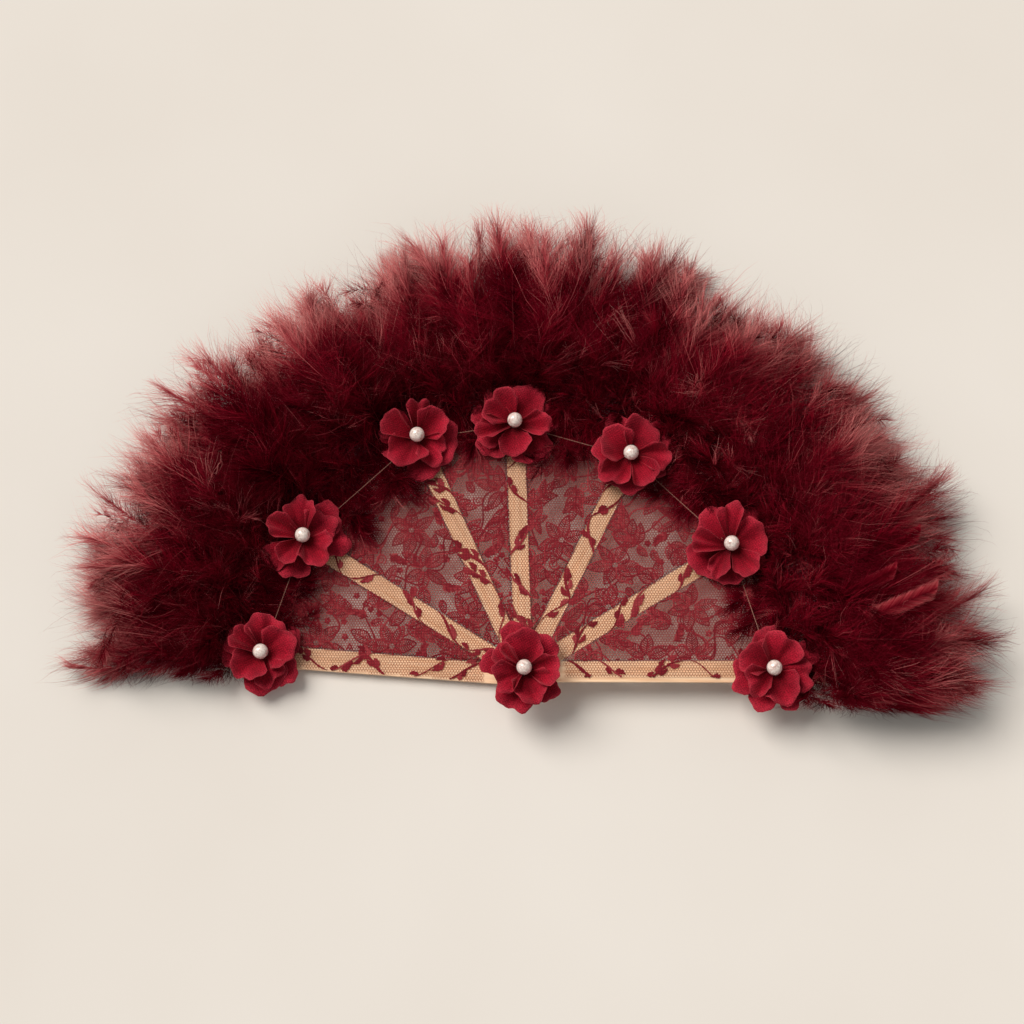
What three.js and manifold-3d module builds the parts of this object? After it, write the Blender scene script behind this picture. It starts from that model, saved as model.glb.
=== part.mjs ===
// A folding hand fan of lace and feathers, lying open on its back. Millimetres, +Z up.
// The rivet's axis is Z, the flat back of the rivet is at Z = 0, and the fan opens towards +Y.

import * as THREE from 'three';
import { mergeVertices } from 'three/addons/utils/BufferGeometryUtils.js';
import Module from 'manifold-3d';

const wasm = await Module();
wasm.setup();

// Layout of the open fan: the left guard comes first and lies at the bottom of the stack
const STICK_NAMES = ['guard_left', 'stick_2', 'stick_3', 'stick_4', 'stick_5', 'stick_6', 'guard_right'];
const STICK_ANGLES_DEG = [175.5, 148, 114, 92, 64, 31.5, 0];
const FLOWER_DISTANCES = [123, 123, 125, 121, 116, 114, 115];

// Gap kept between pieces that lie on each other
const SEAT_GAP = 0.3;

// Sticks
const STICK_LENGTH = 150;
const STICK_THICKNESS = 1.3;
const STICK_ROOT_WIDTH = 8;
const STICK_TIP_WIDTH = 9.4;
const GUARD_THICKNESS = 2;
const GUARD_ROOT_WIDTH = 9.4;
const GUARD_TIP_WIDTH = 10.4;

// Rivet and washers
const RIVET_RADIUS = 1.5;
const RIVET_HEAD_RADIUS = 4;
const RIVET_HEAD_THICKNESS = 0.9;
const WASHER_RADIUS = 4.6;
const WASHER_THICKNESS = 0.6;

// Lace leaf
const LACE_THICKNESS = 0.4;
const LACE_NARROWEST_WEB = 2.4;
const LACE_PAST_FLOWERS = 1.2;
const LACE_GUARD_MARGIN = 1.8;

// Stay thread between neighbouring flowers
const THREAD_RADIUS = 0.35;

// Flowers: a lower and an upper layer of cupped petals on a sewn hub, and a pearl
const FLOWER_RADIUS = 20.5;
const FLOWER_HUB_RADIUS = 5;
const FLOWER_HUB_HEIGHT = 1.6;
const FLOWER_CUP = 4;
const UPPER_RADIUS = 15.5;
const UPPER_HUB_RADIUS = 3.5;
const UPPER_HUB_HEIGHT = 1;
const UPPER_CUP = 5.5;
const PETAL_COUNT = 5;
const PETAL_NOTCH = 0.28;
const PETAL_THICKNESS = 0.9;
const PEARL_RADIUS = 3.6;
const PEARL_SEAT_RADIUS = 2;

// Feather plumes
const PLUME_TIP_DISTANCE = 218;
const PLUME_TIP_SCALLOP = 11;
const PLUME_TIP_TOP = 12;
const PLUME_TIP_BOTTOM = 4;
const PLUME_HEIGHT = 31;
const PLUME_VALLEY_DEPTH = 6;
const PLUME_NECK_WALL = 0.9;
const PLUME_NECK_LENGTH = 3;
const PLUME_RISE_LENGTH = 22;
const PLUME_REST_SHARE = 0.55;
const PLUME_LEFT_SPREAD_DEG = 3;
const PLUME_RIGHT_SPREAD_DEG = 5;
const PUFFS_PER_PLUME = 2;
const STICK_PLUME_SHARE_OF_GAP = 0.25;

// Facets
const HEAD_SEGMENTS = 10;
const ROUND_SEGMENTS = 24;
const PETAL_SEGMENTS = 4;
const PUFF_SEGMENTS = 4;
const PEARL_SEGMENTS = 12;
const PEARL_RINGS = 8;
const THREAD_SIDES = 8;

const rad = THREE.MathUtils.degToRad;
const lerp = THREE.MathUtils.lerp;
const smoothstep = THREE.MathUtils.smoothstep;

const materials = {
  wood: new THREE.MeshStandardMaterial({ color: 0xd9ab6c, roughness: 0.5 }),
  rivet: new THREE.MeshStandardMaterial({ color: 0xb08d4a, roughness: 0.35, metalness: 1 }),
  lace: new THREE.MeshStandardMaterial({ color: 0x7c3540, roughness: 0.9 }),
  thread: new THREE.MeshStandardMaterial({ color: 0xb98a72, roughness: 0.8 }),
  petal: new THREE.MeshStandardMaterial({ color: 0x9c1524, roughness: 0.8 }),
  pearl: new THREE.MeshStandardMaterial({ color: 0xf1e6d2, roughness: 0.2 }),
  feather: new THREE.MeshStandardMaterial({ color: 0x4d0c14, roughness: 0.95 }),
};

// The stack, from the back: rivet head, washer, seven sticks, washer, rivet head
const rearWasherBottom = RIVET_HEAD_THICKNESS + SEAT_GAP;
const firstStickBottom = rearWasherBottom + WASHER_THICKNESS + SEAT_GAP;
const lastStick = STICK_NAMES.length - 1;
const sticks = [];
for (let i = 0; i <= lastStick; i += 1) {
  const isGuard = i === 0 || i === lastStick;
  const bottom = i === 0 ? firstStickBottom : sticks[i - 1].top + SEAT_GAP;
  sticks.push({
    name: STICK_NAMES[i],
    angle: rad(STICK_ANGLES_DEG[i]),
    flowerDistance: FLOWER_DISTANCES[i],
    rootWidth: isGuard ? GUARD_ROOT_WIDTH : STICK_ROOT_WIDTH,
    tipWidth: isGuard ? GUARD_TIP_WIDTH : STICK_TIP_WIDTH,
    bottom,
    top: bottom + (isGuard ? GUARD_THICKNESS : STICK_THICKNESS),
  });
}
const frontWasherBottom = sticks[lastStick].top + SEAT_GAP;
const frontHeadBottom = frontWasherBottom + WASHER_THICKNESS + SEAT_GAP;
const frontHeadTop = frontHeadBottom + RIVET_HEAD_THICKNESS;
const pivotHoleRadius = RIVET_RADIUS + SEAT_GAP;

const laceRise = SEAT_GAP + LACE_THICKNESS;
const flowerRise = laceRise + SEAT_GAP;
const farthestFlower = Math.max(...FLOWER_DISTANCES);
const laceOuterRadius = farthestFlower + FLOWER_HUB_RADIUS + LACE_PAST_FLOWERS;
const plumeInnerRadius = laceOuterRadius + SEAT_GAP;
const plumeRiseRadius = farthestFlower + FLOWER_RADIUS + SEAT_GAP;
const plumeCrownRadius = plumeRiseRadius + PLUME_RISE_LENGTH;

function halfWidth(stick, distance) {
  return lerp(stick.rootWidth, stick.tipWidth, distance / STICK_LENGTH) / 2;
}

// The lace starts where the two sticks beside it leave room for it
function laceInnerRadius(left, right) {
  const besideSticks = (left.rootWidth + right.rootWidth) / 2 + 2 * SEAT_GAP;
  return (besideSticks + LACE_NARROWEST_WEB) / (2 * Math.sin((left.angle - right.angle) / 2));
}

const fan = new THREE.Group();

function addMesh(parent, name, geometry, material) {
  const mesh = new THREE.Mesh(geometry, material);
  mesh.name = name;
  parent.add(mesh);
  return mesh;
}

function geometryOf(positions, index) {
  const geometry = new THREE.BufferGeometry();
  geometry.setAttribute('position', new THREE.Float32BufferAttribute(positions, 3));
  geometry.setIndex(index);
  geometry.computeVertexNormals();
  return geometry;
}

// A closed sheet between a top and a bottom surface, each given as a function of two shares from 0 to 1.
// The first share runs clockwise and the second outwards, so that the top faces +Z.
function sheetSolid(columns, rows, top, bottom) {
  const positions = [];
  const index = [];
  const perSurface = (columns + 1) * (rows + 1);
  const at = (column, row) => row * (columns + 1) + column;
  for (const surface of [top, bottom]) {
    for (let row = 0; row <= rows; row += 1) {
      for (let column = 0; column <= columns; column += 1) {
        positions.push(...surface(column / columns, row / rows));
      }
    }
  }
  const quad = (a, b, c, d) => index.push(a, b, c, a, c, d);
  for (let row = 0; row < rows; row += 1) {
    for (let column = 0; column < columns; column += 1) {
      const corners = [at(column, row), at(column + 1, row), at(column + 1, row + 1), at(column, row + 1)];
      quad(...corners);
      quad(...corners.map((corner) => corner + perSurface).reverse());
    }
  }
  const rim = [];
  for (let column = 0; column < columns; column += 1) rim.push(at(column, 0));
  for (let row = 0; row < rows; row += 1) rim.push(at(columns, row));
  for (let column = columns; column > 0; column -= 1) rim.push(at(column, rows));
  for (let row = rows; row > 0; row -= 1) rim.push(at(0, row));
  rim.forEach((here, i) => {
    const next = rim[(i + 1) % rim.length];
    quad(here, here + perSurface, next + perSurface, next);
  });
  return geometryOf(positions, index);
}

// A closed body turned about Z, from its low pole to its high one, with rings that can follow the angle
function ringSolid(segments, lowPole, rings, highPole) {
  const positions = [0, 0, lowPole];
  const index = [];
  rings.forEach((ring) => {
    for (let s = 0; s < segments; s += 1) {
      const angle = (s / segments) * 2 * Math.PI;
      const [radius, height] = ring(angle);
      positions.push(radius * Math.cos(angle), radius * Math.sin(angle), height);
    }
  });
  positions.push(0, 0, highPole);
  const high = rings.length * segments + 1;
  const at = (ring, s) => 1 + ring * segments + (s % segments);
  for (let s = 0; s < segments; s += 1) {
    index.push(0, at(0, s + 1), at(0, s));
    for (let ring = 0; ring < rings.length - 1; ring += 1) {
      index.push(at(ring, s), at(ring, s + 1), at(ring + 1, s + 1));
      index.push(at(ring, s), at(ring + 1, s + 1), at(ring + 1, s));
    }
    index.push(high, at(rings.length - 1, s), at(rings.length - 1, s + 1));
  }
  return geometryOf(positions, index);
}

function toSolid(geometry) {
  const bare = geometry.clone();
  bare.deleteAttribute('normal');
  bare.deleteAttribute('uv');
  const merged = mergeVertices(bare);
  const mesh = new wasm.Mesh({
    numProp: 3,
    vertProperties: new Float32Array(merged.attributes.position.array),
    triVerts: new Uint32Array(merged.index.array),
  });
  return new wasm.Manifold(mesh);
}

function cut(geometry, tool) {
  const mesh = toSolid(geometry).subtract(toSolid(tool)).getMesh();
  return geometryOf(mesh.vertProperties, [...mesh.triVerts]);
}

// A profile of [radius, height] points turned about Z
function lathe(points) {
  const profile = points.map(([radius, height]) => new THREE.Vector2(radius, height));
  return new THREE.LatheGeometry(profile, ROUND_SEGMENTS).rotateX(Math.PI / 2);
}

// Pivot
function rivetGeometry() {
  return lathe([
    [0, 0],
    [RIVET_HEAD_RADIUS, 0],
    [RIVET_HEAD_RADIUS, RIVET_HEAD_THICKNESS],
    [RIVET_RADIUS, RIVET_HEAD_THICKNESS],
    [RIVET_RADIUS, frontHeadBottom],
    [RIVET_HEAD_RADIUS, frontHeadBottom],
    [RIVET_HEAD_RADIUS, frontHeadTop],
    [0, frontHeadTop],
  ]);
}

function washerGeometry() {
  return lathe([
    [pivotHoleRadius, 0],
    [WASHER_RADIUS, 0],
    [WASHER_RADIUS, WASHER_THICKNESS],
    [pivotHoleRadius, WASHER_THICKNESS],
    [pivotHoleRadius, 0],
  ]);
}

// A stick along +X: a round head at the pivot, straight sides and a round tip
function stickGeometry(stick) {
  const root = stick.rootWidth / 2;
  const tip = stick.tipWidth / 2;
  const outline = new THREE.Shape();
  outline.absarc(0, 0, root, Math.PI / 2, (3 * Math.PI) / 2);
  outline.absarc(STICK_LENGTH - tip, 0, tip, -Math.PI / 2, Math.PI / 2);
  outline.closePath();
  const hole = new THREE.Path();
  hole.absarc(0, 0, pivotHoleRadius, 0, 2 * Math.PI);
  outline.holes.push(hole);
  const depth = stick.top - stick.bottom;
  return new THREE.ExtrudeGeometry(outline, { depth, bevelEnabled: false, curveSegments: HEAD_SEGMENTS });
}

// A point beside a stick: a distance along it from the pivot and an offset to its left
function beside(stick, distance, offset) {
  return {
    angle: stick.angle + Math.atan2(offset, distance),
    radius: Math.hypot(distance, offset),
  };
}

function fromPolar({ angle, radius }, height) {
  return [radius * Math.cos(angle), radius * Math.sin(angle), height];
}

// A lace panel lies on the fronts of two neighbouring sticks and slopes from one to the other between them
const LACE_COLUMNS = 6;
const LACE_ROWS = 4;

function laceGeometry(left, right) {
  const overGuard = (stick) => stick === sticks[0] || stick === sticks[lastStick];
  const reach = (stick, distance) =>
    overGuard(stick) ? halfWidth(stick, distance) - LACE_GUARD_MARGIN : -SEAT_GAP / 2;
  const innerRadius = laceInnerRadius(left, right);
  const point = (column, row) => {
    const distance = lerp(innerRadius, laceOuterRadius, row);
    const leftEdge = beside(left, distance, -halfWidth(left, distance) - SEAT_GAP);
    const rightEdge = beside(right, distance, halfWidth(right, distance) + SEAT_GAP);
    const step = Math.round(column * LACE_COLUMNS);
    if (step === 0) return [beside(left, distance, reach(left, distance)), left.top];
    if (step === LACE_COLUMNS) return [beside(right, distance, -reach(right, distance)), right.top];
    const share = (step - 1) / (LACE_COLUMNS - 2);
    const between = {
      angle: lerp(leftEdge.angle, rightEdge.angle, share),
      radius: lerp(leftEdge.radius, rightEdge.radius, share),
    };
    return [between, lerp(left.top, right.top, share)];
  };
  const surface = (rise) => (column, row) => {
    const [place, height] = point(column, row);
    return fromPolar(place, height + rise);
  };
  return sheetSolid(LACE_COLUMNS, LACE_ROWS, surface(laceRise), surface(SEAT_GAP));
}

// A stay thread runs straight from the hub of one flower to the hub of the next
function threadGeometry(left, right) {
  const rise = flowerRise + THREAD_RADIUS;
  const ends = [left, right].map((stick) =>
    new THREE.Vector3(...fromPolar({ angle: stick.angle, radius: stick.flowerDistance }, stick.top + rise)));
  const run = ends[1].clone().sub(ends[0]).normalize().multiplyScalar(FLOWER_HUB_RADIUS + SEAT_GAP);
  const path = new THREE.LineCurve3(ends[0].add(run), ends[1].sub(run));
  const section = new THREE.Shape();
  section.absarc(0, 0, THREAD_RADIUS, 0, 2 * Math.PI);
  return new THREE.ExtrudeGeometry(section, { extrudePath: path, steps: 1, curveSegments: THREAD_SIDES });
}

// A layer of petals: a hub, and a cup whose rim is notched between the petals
function petalGeometry({ radius, hubRadius, hubHeight, cup, seatRadius }) {
  const rim = (angle) => {
    const toNotch = 1 - Math.abs(Math.cos((PETAL_COUNT * angle) / 2));
    return radius * (1 - PETAL_NOTCH * toNotch * toNotch);
  };
  const seat = hubHeight + PETAL_THICKNESS;
  return ringSolid(
    PETAL_COUNT * PETAL_SEGMENTS,
    0,
    [
      () => [hubRadius, 0],
      () => [hubRadius, hubHeight],
      (angle) => [rim(angle), hubHeight + cup],
      (angle) => [rim(angle), seat + cup],
      () => [seatRadius, seat],
    ],
    seat,
  );
}

const lowerPetals = petalGeometry({
  radius: FLOWER_RADIUS,
  hubRadius: FLOWER_HUB_RADIUS,
  hubHeight: FLOWER_HUB_HEIGHT,
  cup: FLOWER_CUP,
  seatRadius: UPPER_HUB_RADIUS + SEAT_GAP,
});
const upperPetals = petalGeometry({
  radius: UPPER_RADIUS,
  hubRadius: UPPER_HUB_RADIUS,
  hubHeight: UPPER_HUB_HEIGHT,
  cup: UPPER_CUP,
  seatRadius: PEARL_SEAT_RADIUS,
});
const pearl = new THREE.SphereGeometry(PEARL_RADIUS, PEARL_SEGMENTS, PEARL_RINGS);

function flowerGroup(name) {
  const flower = new THREE.Group();
  addMesh(flower, `${name}_lower_petals`, lowerPetals, materials.petal);
  const upper = addMesh(flower, `${name}_upper_petals`, upperPetals, materials.petal);
  upper.position.z = FLOWER_HUB_HEIGHT + PETAL_THICKNESS + SEAT_GAP;
  upper.rotation.z = Math.PI / PETAL_COUNT;
  const bead = addMesh(flower, `${name}_pearl`, pearl, materials.pearl);
  bead.position.z = upper.position.z + UPPER_HUB_HEIGHT + PETAL_THICKNESS + SEAT_GAP + PEARL_RADIUS;
  return flower;
}

// A plume fills a sector of the feather border, from the lace's edge to its tip, in round puffs side by side.
// Past its neck it swells to a crown, sags to the table and thins out to a tip that hangs clear of the table.
const PLUME_COLUMNS = PUFFS_PER_PLUME * PUFF_SEGMENTS;
const PLUME_RINGS = [0, 0.5, 1, 1.3, 1.65, 2, 2.25, 2.5, 2.75, 2.92, 3];

function plumeGeometry(leftAngle, rightAngle, neck) {
  const seam = SEAT_GAP / 2 / plumeInnerRadius;
  const plan = (column, row) => {
    const stage = PLUME_RINGS[Math.round(row * (PLUME_RINGS.length - 1))];
    const valley = 1 - Math.abs(Math.sin(PUFFS_PER_PLUME * Math.PI * column));
    const tip = PLUME_TIP_DISTANCE - PLUME_TIP_SCALLOP * valley;
    const stops = [plumeInnerRadius, neck.endRadius(2 * column - 1), plumeCrownRadius, tip];
    const last = Math.min(Math.floor(stage), stops.length - 2);
    const radius = lerp(stops[last], stops[last + 1], stage - last);
    const angle = lerp(leftAngle - seam, rightAngle + seam, column);
    const swell = Math.min(Math.max(stage - 1, 0), 1);
    const thinning = Math.max(stage - 2, 0);
    return { valley, swell, thinning, angle, radius };
  };
  const top = (column, row) => {
    const { valley, swell, thinning, ...place } = plan(column, row);
    const crown = PLUME_HEIGHT - PLUME_VALLEY_DEPTH * valley;
    const ridge = lerp(PLUME_TIP_TOP, crown, Math.cos((thinning * Math.PI) / 2));
    return fromPolar(place, lerp(neck.top, ridge, Math.sin((swell * Math.PI) / 2)));
  };
  const bottom = (column, row) => {
    const { swell, thinning, ...place } = plan(column, row);
    const lift = PLUME_TIP_BOTTOM * smoothstep(thinning, PLUME_REST_SHARE, 1);
    return fromPolar(place, neck.bottom * (1 - smoothstep(swell, 0, 1)) + lift);
  };
  return sheetSolid(PLUME_COLUMNS, PLUME_RINGS.length - 1, top, bottom);
}

// The slot in a plume that its stick's tip goes into
function slotGeometry(stick) {
  const start = laceOuterRadius - SEAT_GAP;
  const length = STICK_LENGTH + SEAT_GAP - start;
  const width = 2 * (Math.max(stick.rootWidth, stick.tipWidth) / 2 + SEAT_GAP);
  const height = stick.top - stick.bottom + 2 * SEAT_GAP;
  const box = new THREE.BoxGeometry(length, width, height);
  return box.translate(start + length / 2, 0, (stick.bottom + stick.top) / 2);
}

function addPivot() {
  addMesh(fan, 'pivot_rivet', rivetGeometry(), materials.rivet);
  const rear = addMesh(fan, 'pivot_washer_rear', washerGeometry(), materials.rivet);
  rear.position.z = rearWasherBottom;
  const front = addMesh(fan, 'pivot_washer_front', washerGeometry(), materials.rivet);
  front.position.z = frontWasherBottom;
  const flower = flowerGroup('pivot_flower');
  flower.position.z = frontHeadTop + SEAT_GAP;
  fan.add(flower);
}

// A stick with its flower and plume, in a group turned to the stick's place
function addStick(i) {
  const stick = sticks[i];
  const group = new THREE.Group();
  group.rotation.z = stick.angle;
  const bar = addMesh(group, stick.name, stickGeometry(stick), materials.wood);
  bar.position.z = stick.bottom;
  const flower = flowerGroup(`flower_${i + 1}`);
  flower.position.set(stick.flowerDistance, 0, stick.top + flowerRise);
  group.add(flower);
  const towards = (neighbour) => (neighbour.angle - stick.angle) * STICK_PLUME_SHARE_OF_GAP;
  const leftAngle = i === 0 ? rad(PLUME_LEFT_SPREAD_DEG) : towards(sticks[i - 1]);
  const rightAngle = i === lastStick ? -rad(PLUME_RIGHT_SPREAD_DEG) : towards(sticks[i + 1]);
  const neck = {
    top: stick.top + SEAT_GAP + PLUME_NECK_WALL,
    bottom: stick.bottom - SEAT_GAP - PLUME_NECK_WALL,
    endRadius: () => plumeRiseRadius,
  };
  const plume = cut(plumeGeometry(leftAngle, rightAngle, neck), slotGeometry(stick));
  addMesh(group, `plume_${i + 1}`, plume, materials.feather);
  fan.add(group);
}

// What fills the gap after a stick: a lace panel, a stay thread and a plume
function addGap(i) {
  const left = sticks[i];
  const right = sticks[i + 1];
  addMesh(fan, `lace_panel_${i + 1}`, laceGeometry(left, right), materials.lace);
  addMesh(fan, `stay_thread_${i + 1}`, threadGeometry(left, right), materials.thread);
  const leftAngle = lerp(left.angle, right.angle, STICK_PLUME_SHARE_OF_GAP);
  const rightAngle = lerp(left.angle, right.angle, 1 - STICK_PLUME_SHARE_OF_GAP);
  const neck = {
    top: (left.top + right.top) / 2 + laceRise + PLUME_NECK_WALL,
    bottom: left.top - PLUME_NECK_WALL,
    endRadius: (across) => lerp(plumeInnerRadius + PLUME_NECK_LENGTH, plumeRiseRadius, across * across),
  };
  addMesh(fan, `plume_gap_${i + 1}`, plumeGeometry(leftAngle, rightAngle, neck), materials.feather);
}

addPivot();
sticks.forEach((stick, i) => addStick(i));
sticks.slice(1).forEach((stick, i) => addGap(i));

export default fan;
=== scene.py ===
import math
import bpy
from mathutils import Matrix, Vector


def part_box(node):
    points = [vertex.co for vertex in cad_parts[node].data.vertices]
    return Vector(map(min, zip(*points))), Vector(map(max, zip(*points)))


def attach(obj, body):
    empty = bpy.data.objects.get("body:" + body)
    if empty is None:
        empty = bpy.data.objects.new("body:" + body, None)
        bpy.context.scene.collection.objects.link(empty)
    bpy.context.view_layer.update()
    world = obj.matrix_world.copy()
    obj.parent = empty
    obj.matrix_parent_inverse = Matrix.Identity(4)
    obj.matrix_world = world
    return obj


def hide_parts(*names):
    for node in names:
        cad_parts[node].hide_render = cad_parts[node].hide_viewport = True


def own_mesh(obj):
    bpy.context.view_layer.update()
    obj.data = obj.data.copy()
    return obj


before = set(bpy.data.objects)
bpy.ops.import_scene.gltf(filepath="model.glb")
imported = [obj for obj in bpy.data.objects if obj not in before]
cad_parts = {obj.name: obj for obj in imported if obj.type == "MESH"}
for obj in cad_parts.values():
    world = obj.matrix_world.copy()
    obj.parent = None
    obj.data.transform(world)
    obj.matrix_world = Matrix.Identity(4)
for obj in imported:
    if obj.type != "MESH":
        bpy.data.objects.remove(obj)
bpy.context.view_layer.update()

# The looks of a folding hand fan of lace and feathers, lying open on its back. Metres, +Z up.
from types import SimpleNamespace as Group

import bpy
import numpy as np
from mathutils import Vector

MM = 0.001
CIRCLE = 2 * math.pi
UP = np.array([0.0, 0.0, 1.0])
TINY = 1e-9


# Places, directions and limits

def polar(radius, angle):
    """Points in plan, at a distance and an angle from the pivot."""
    return np.stack([radius * np.cos(angle), radius * np.sin(angle)], -1)


def flat(angle):
    """Directions in plan."""
    return polar(1.0, angle)


def place(radius, angle, height=0.0):
    """Points in space, at a distance and an angle from the pivot."""
    radius, angle, height = np.broadcast_arrays(radius, angle, height)
    return np.concatenate([polar(radius, angle), height[..., None]], -1)


def direction(yaw, pitch=0.0):
    """Directions in space, along yaw in plan and rising by pitch."""
    return place(np.cos(pitch), yaw, np.sin(pitch))


def around(turn, first, second):
    """Directions that turn from the first towards the second."""
    turn = np.asarray(turn)[..., None]
    return np.cos(turn) * first + np.sin(turn) * second


def left_of(steps):
    """Steps in plan, turned a quarter to the left."""
    return np.stack([-steps[..., 1], steps[..., 0]], -1)


def ring_angles(sides):
    return np.linspace(0, CIRCLE, sides, endpoint=False)


def radius_of(points):
    return np.hypot(points[..., 0], points[..., 1])


def angle_of(points):
    """Polar angle, counted on past the left guard."""
    angle = np.arctan2(points[..., 1], points[..., 0])
    return np.where(angle < -math.pi / 2, angle + CIRCLE, angle)


def beside(points, angle):
    """How far points lie along a line out of the pivot, and across it to its left."""
    x, y = points[..., 0], points[..., 1]
    return x * math.cos(angle) + y * math.sin(angle), y * math.cos(angle) - x * math.sin(angle)


def unit(vectors):
    return vectors / np.maximum(np.linalg.norm(vectors, axis=-1, keepdims=True), TINY)


def smoothstep(x, low, high):
    t = np.clip((x - low) / (high - low), 0, 1)
    return t * t * (3 - 2 * t)


def soft_limit(values, start, room):
    """Values past start are drawn in, so that none goes further than start + room."""
    over = np.maximum(values - start, 0)
    return np.where(over > 0, start + room * (1 - np.exp(-over / room)), values)


def either_way(rng, most, count=None):
    return rng.uniform(-most, most, count)


# Layout of the fan, read from the packed model

STICK_NAMES = ["guard_left", "stick_2", "stick_3", "stick_4", "stick_5", "stick_6", "guard_right"]
STICK_END_ZONE = 12 * MM


def flower_place(name):
    """The foot of a flower, under its pearl, and the middle of the pearl."""
    low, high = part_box(f"{name}_pearl")
    pearl = np.array((low + high) / 2)
    return np.array([*pearl[:2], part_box(f"{name}_lower_petals")[0].z]), pearl


def read_stick(i):
    """Angle, height and half widths of a stick, with the places of its flower and pearl."""
    name = STICK_NAMES[i]
    flower, pearl = flower_place(f"flower_{i + 1}")
    angle = math.atan2(pearl[1], pearl[0])
    points = np.array([v.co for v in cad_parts[name].data.vertices])
    along, across = beside(points, angle)
    across = np.abs(across)
    return Group(
        name=name,
        angle=angle,
        top=points[:, 2].max(),
        length=along.max(),
        root=across[along < STICK_END_ZONE].max(),
        tip=across[along > along.max() - STICK_END_ZONE].max(),
        flower=flower,
        pearl=pearl,
    )


sticks = [read_stick(i) for i in range(len(STICK_NAMES))]
gaps = list(zip(sticks, sticks[1:]))


def half_width(stick, distance):
    return stick.root + (stick.tip - stick.root) * distance / stick.length


# Meshes

BAKE_MAP = "OFBake"


def add_object(name, data):
    item = bpy.data.objects.new(name, data)
    bpy.context.scene.collection.objects.link(item)
    return item


def add_map(mesh, name, uv):
    """A map on a mesh, from one coordinate pair to a vertex."""
    corners = np.zeros(len(mesh.loops), np.int32)
    mesh.loops.foreach_get("vertex_index", corners)
    layer = mesh.uv_layers.new(name=name)
    layer.data.foreach_set("uv", np.asarray(uv, np.float32)[corners].ravel())


class Parts:
    """Patches gathered into one smooth mesh, which may have a second map."""

    def __init__(self, second_map=None):
        self.second_map = second_map
        self.vertices = []
        self.uv = []
        self.second_uv = []
        self.faces = []
        self.count = 0

    def add(self, vertices, uv, *faces, second_uv=None):
        """A patch, whose faces are index arrays with three or four corners to a face."""
        self.vertices.append(vertices)
        self.uv.append(uv)
        self.second_uv.append(second_uv)
        self.faces.extend(f + self.count for f in faces)
        self.count += len(vertices)

    def build(self, name, material):
        loops = np.concatenate([f.ravel() for f in self.faces]).astype(np.int32)
        corners = np.concatenate([np.full(len(f), f.shape[1]) for f in self.faces])
        starts = np.concatenate([[0], np.cumsum(corners)[:-1]]).astype(np.int32)
        mesh = bpy.data.meshes.new(name)
        mesh.vertices.add(self.count)
        mesh.vertices.foreach_set("co", np.concatenate(self.vertices).astype(np.float32).ravel())
        mesh.loops.add(len(loops))
        mesh.loops.foreach_set("vertex_index", loops)
        mesh.polygons.add(len(starts))
        mesh.polygons.foreach_set("loop_start", starts)
        add_map(mesh, BAKE_MAP, np.concatenate(self.uv))
        if self.second_map:
            add_map(mesh, self.second_map, np.concatenate(self.second_uv))
        mesh.update(calc_edges=True)
        mesh.shade_smooth()
        mesh.materials.append(material)
        return add_object(name, mesh)


def grid_faces(rows, columns, closed=False):
    """Quads of a grid of points stored row by row. closed joins the last column to the first."""
    row = np.arange(rows - 1)[:, None] * columns
    column = np.arange(columns if closed else columns - 1)[None, :]
    after = (column + 1) % columns
    quads = np.stack([row + column, row + after, row + columns + after, row + columns + column], -1)
    return quads.reshape(-1, 4)


def grid_uv(rows, columns, low, high):
    """Map coordinates of such a grid, spread over the box from low to high."""
    u = np.linspace(low[0], high[0], columns)
    v = np.linspace(low[1], high[1], rows)
    return np.stack(np.meshgrid(u, v), -1).reshape(-1, 2)


def tube(path, radii, sides):
    """Points of a round tube along a path, ring by ring."""
    tangent = unit(np.gradient(path, axis=0))
    across = unit(np.cross(tangent, UP))
    lift = np.cross(across, tangent)
    ring = around(ring_angles(sides), across[:, None], lift[:, None])
    return (path[:, None] + ring * np.asarray(radii)[:, None, None]).reshape(-1, 3)


# Materials

MIX_FACTOR, MIX_FIRST, MIX_SECOND = 0, 6, 7
MIX_COLOUR = 2
WAVE_LENGTH = 0.31416
WAVE_DISTORTION = 0.4


def srgb(red, green, blue):
    """A colour as it is read off a screen, from 0 to 255, in linear light."""
    channels = np.array([red, green, blue]) / 255
    linear = np.where(channels <= 0.04045, channels / 12.92, ((channels + 0.055) / 1.055) ** 2.4)
    return (*linear, 1.0)


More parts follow.
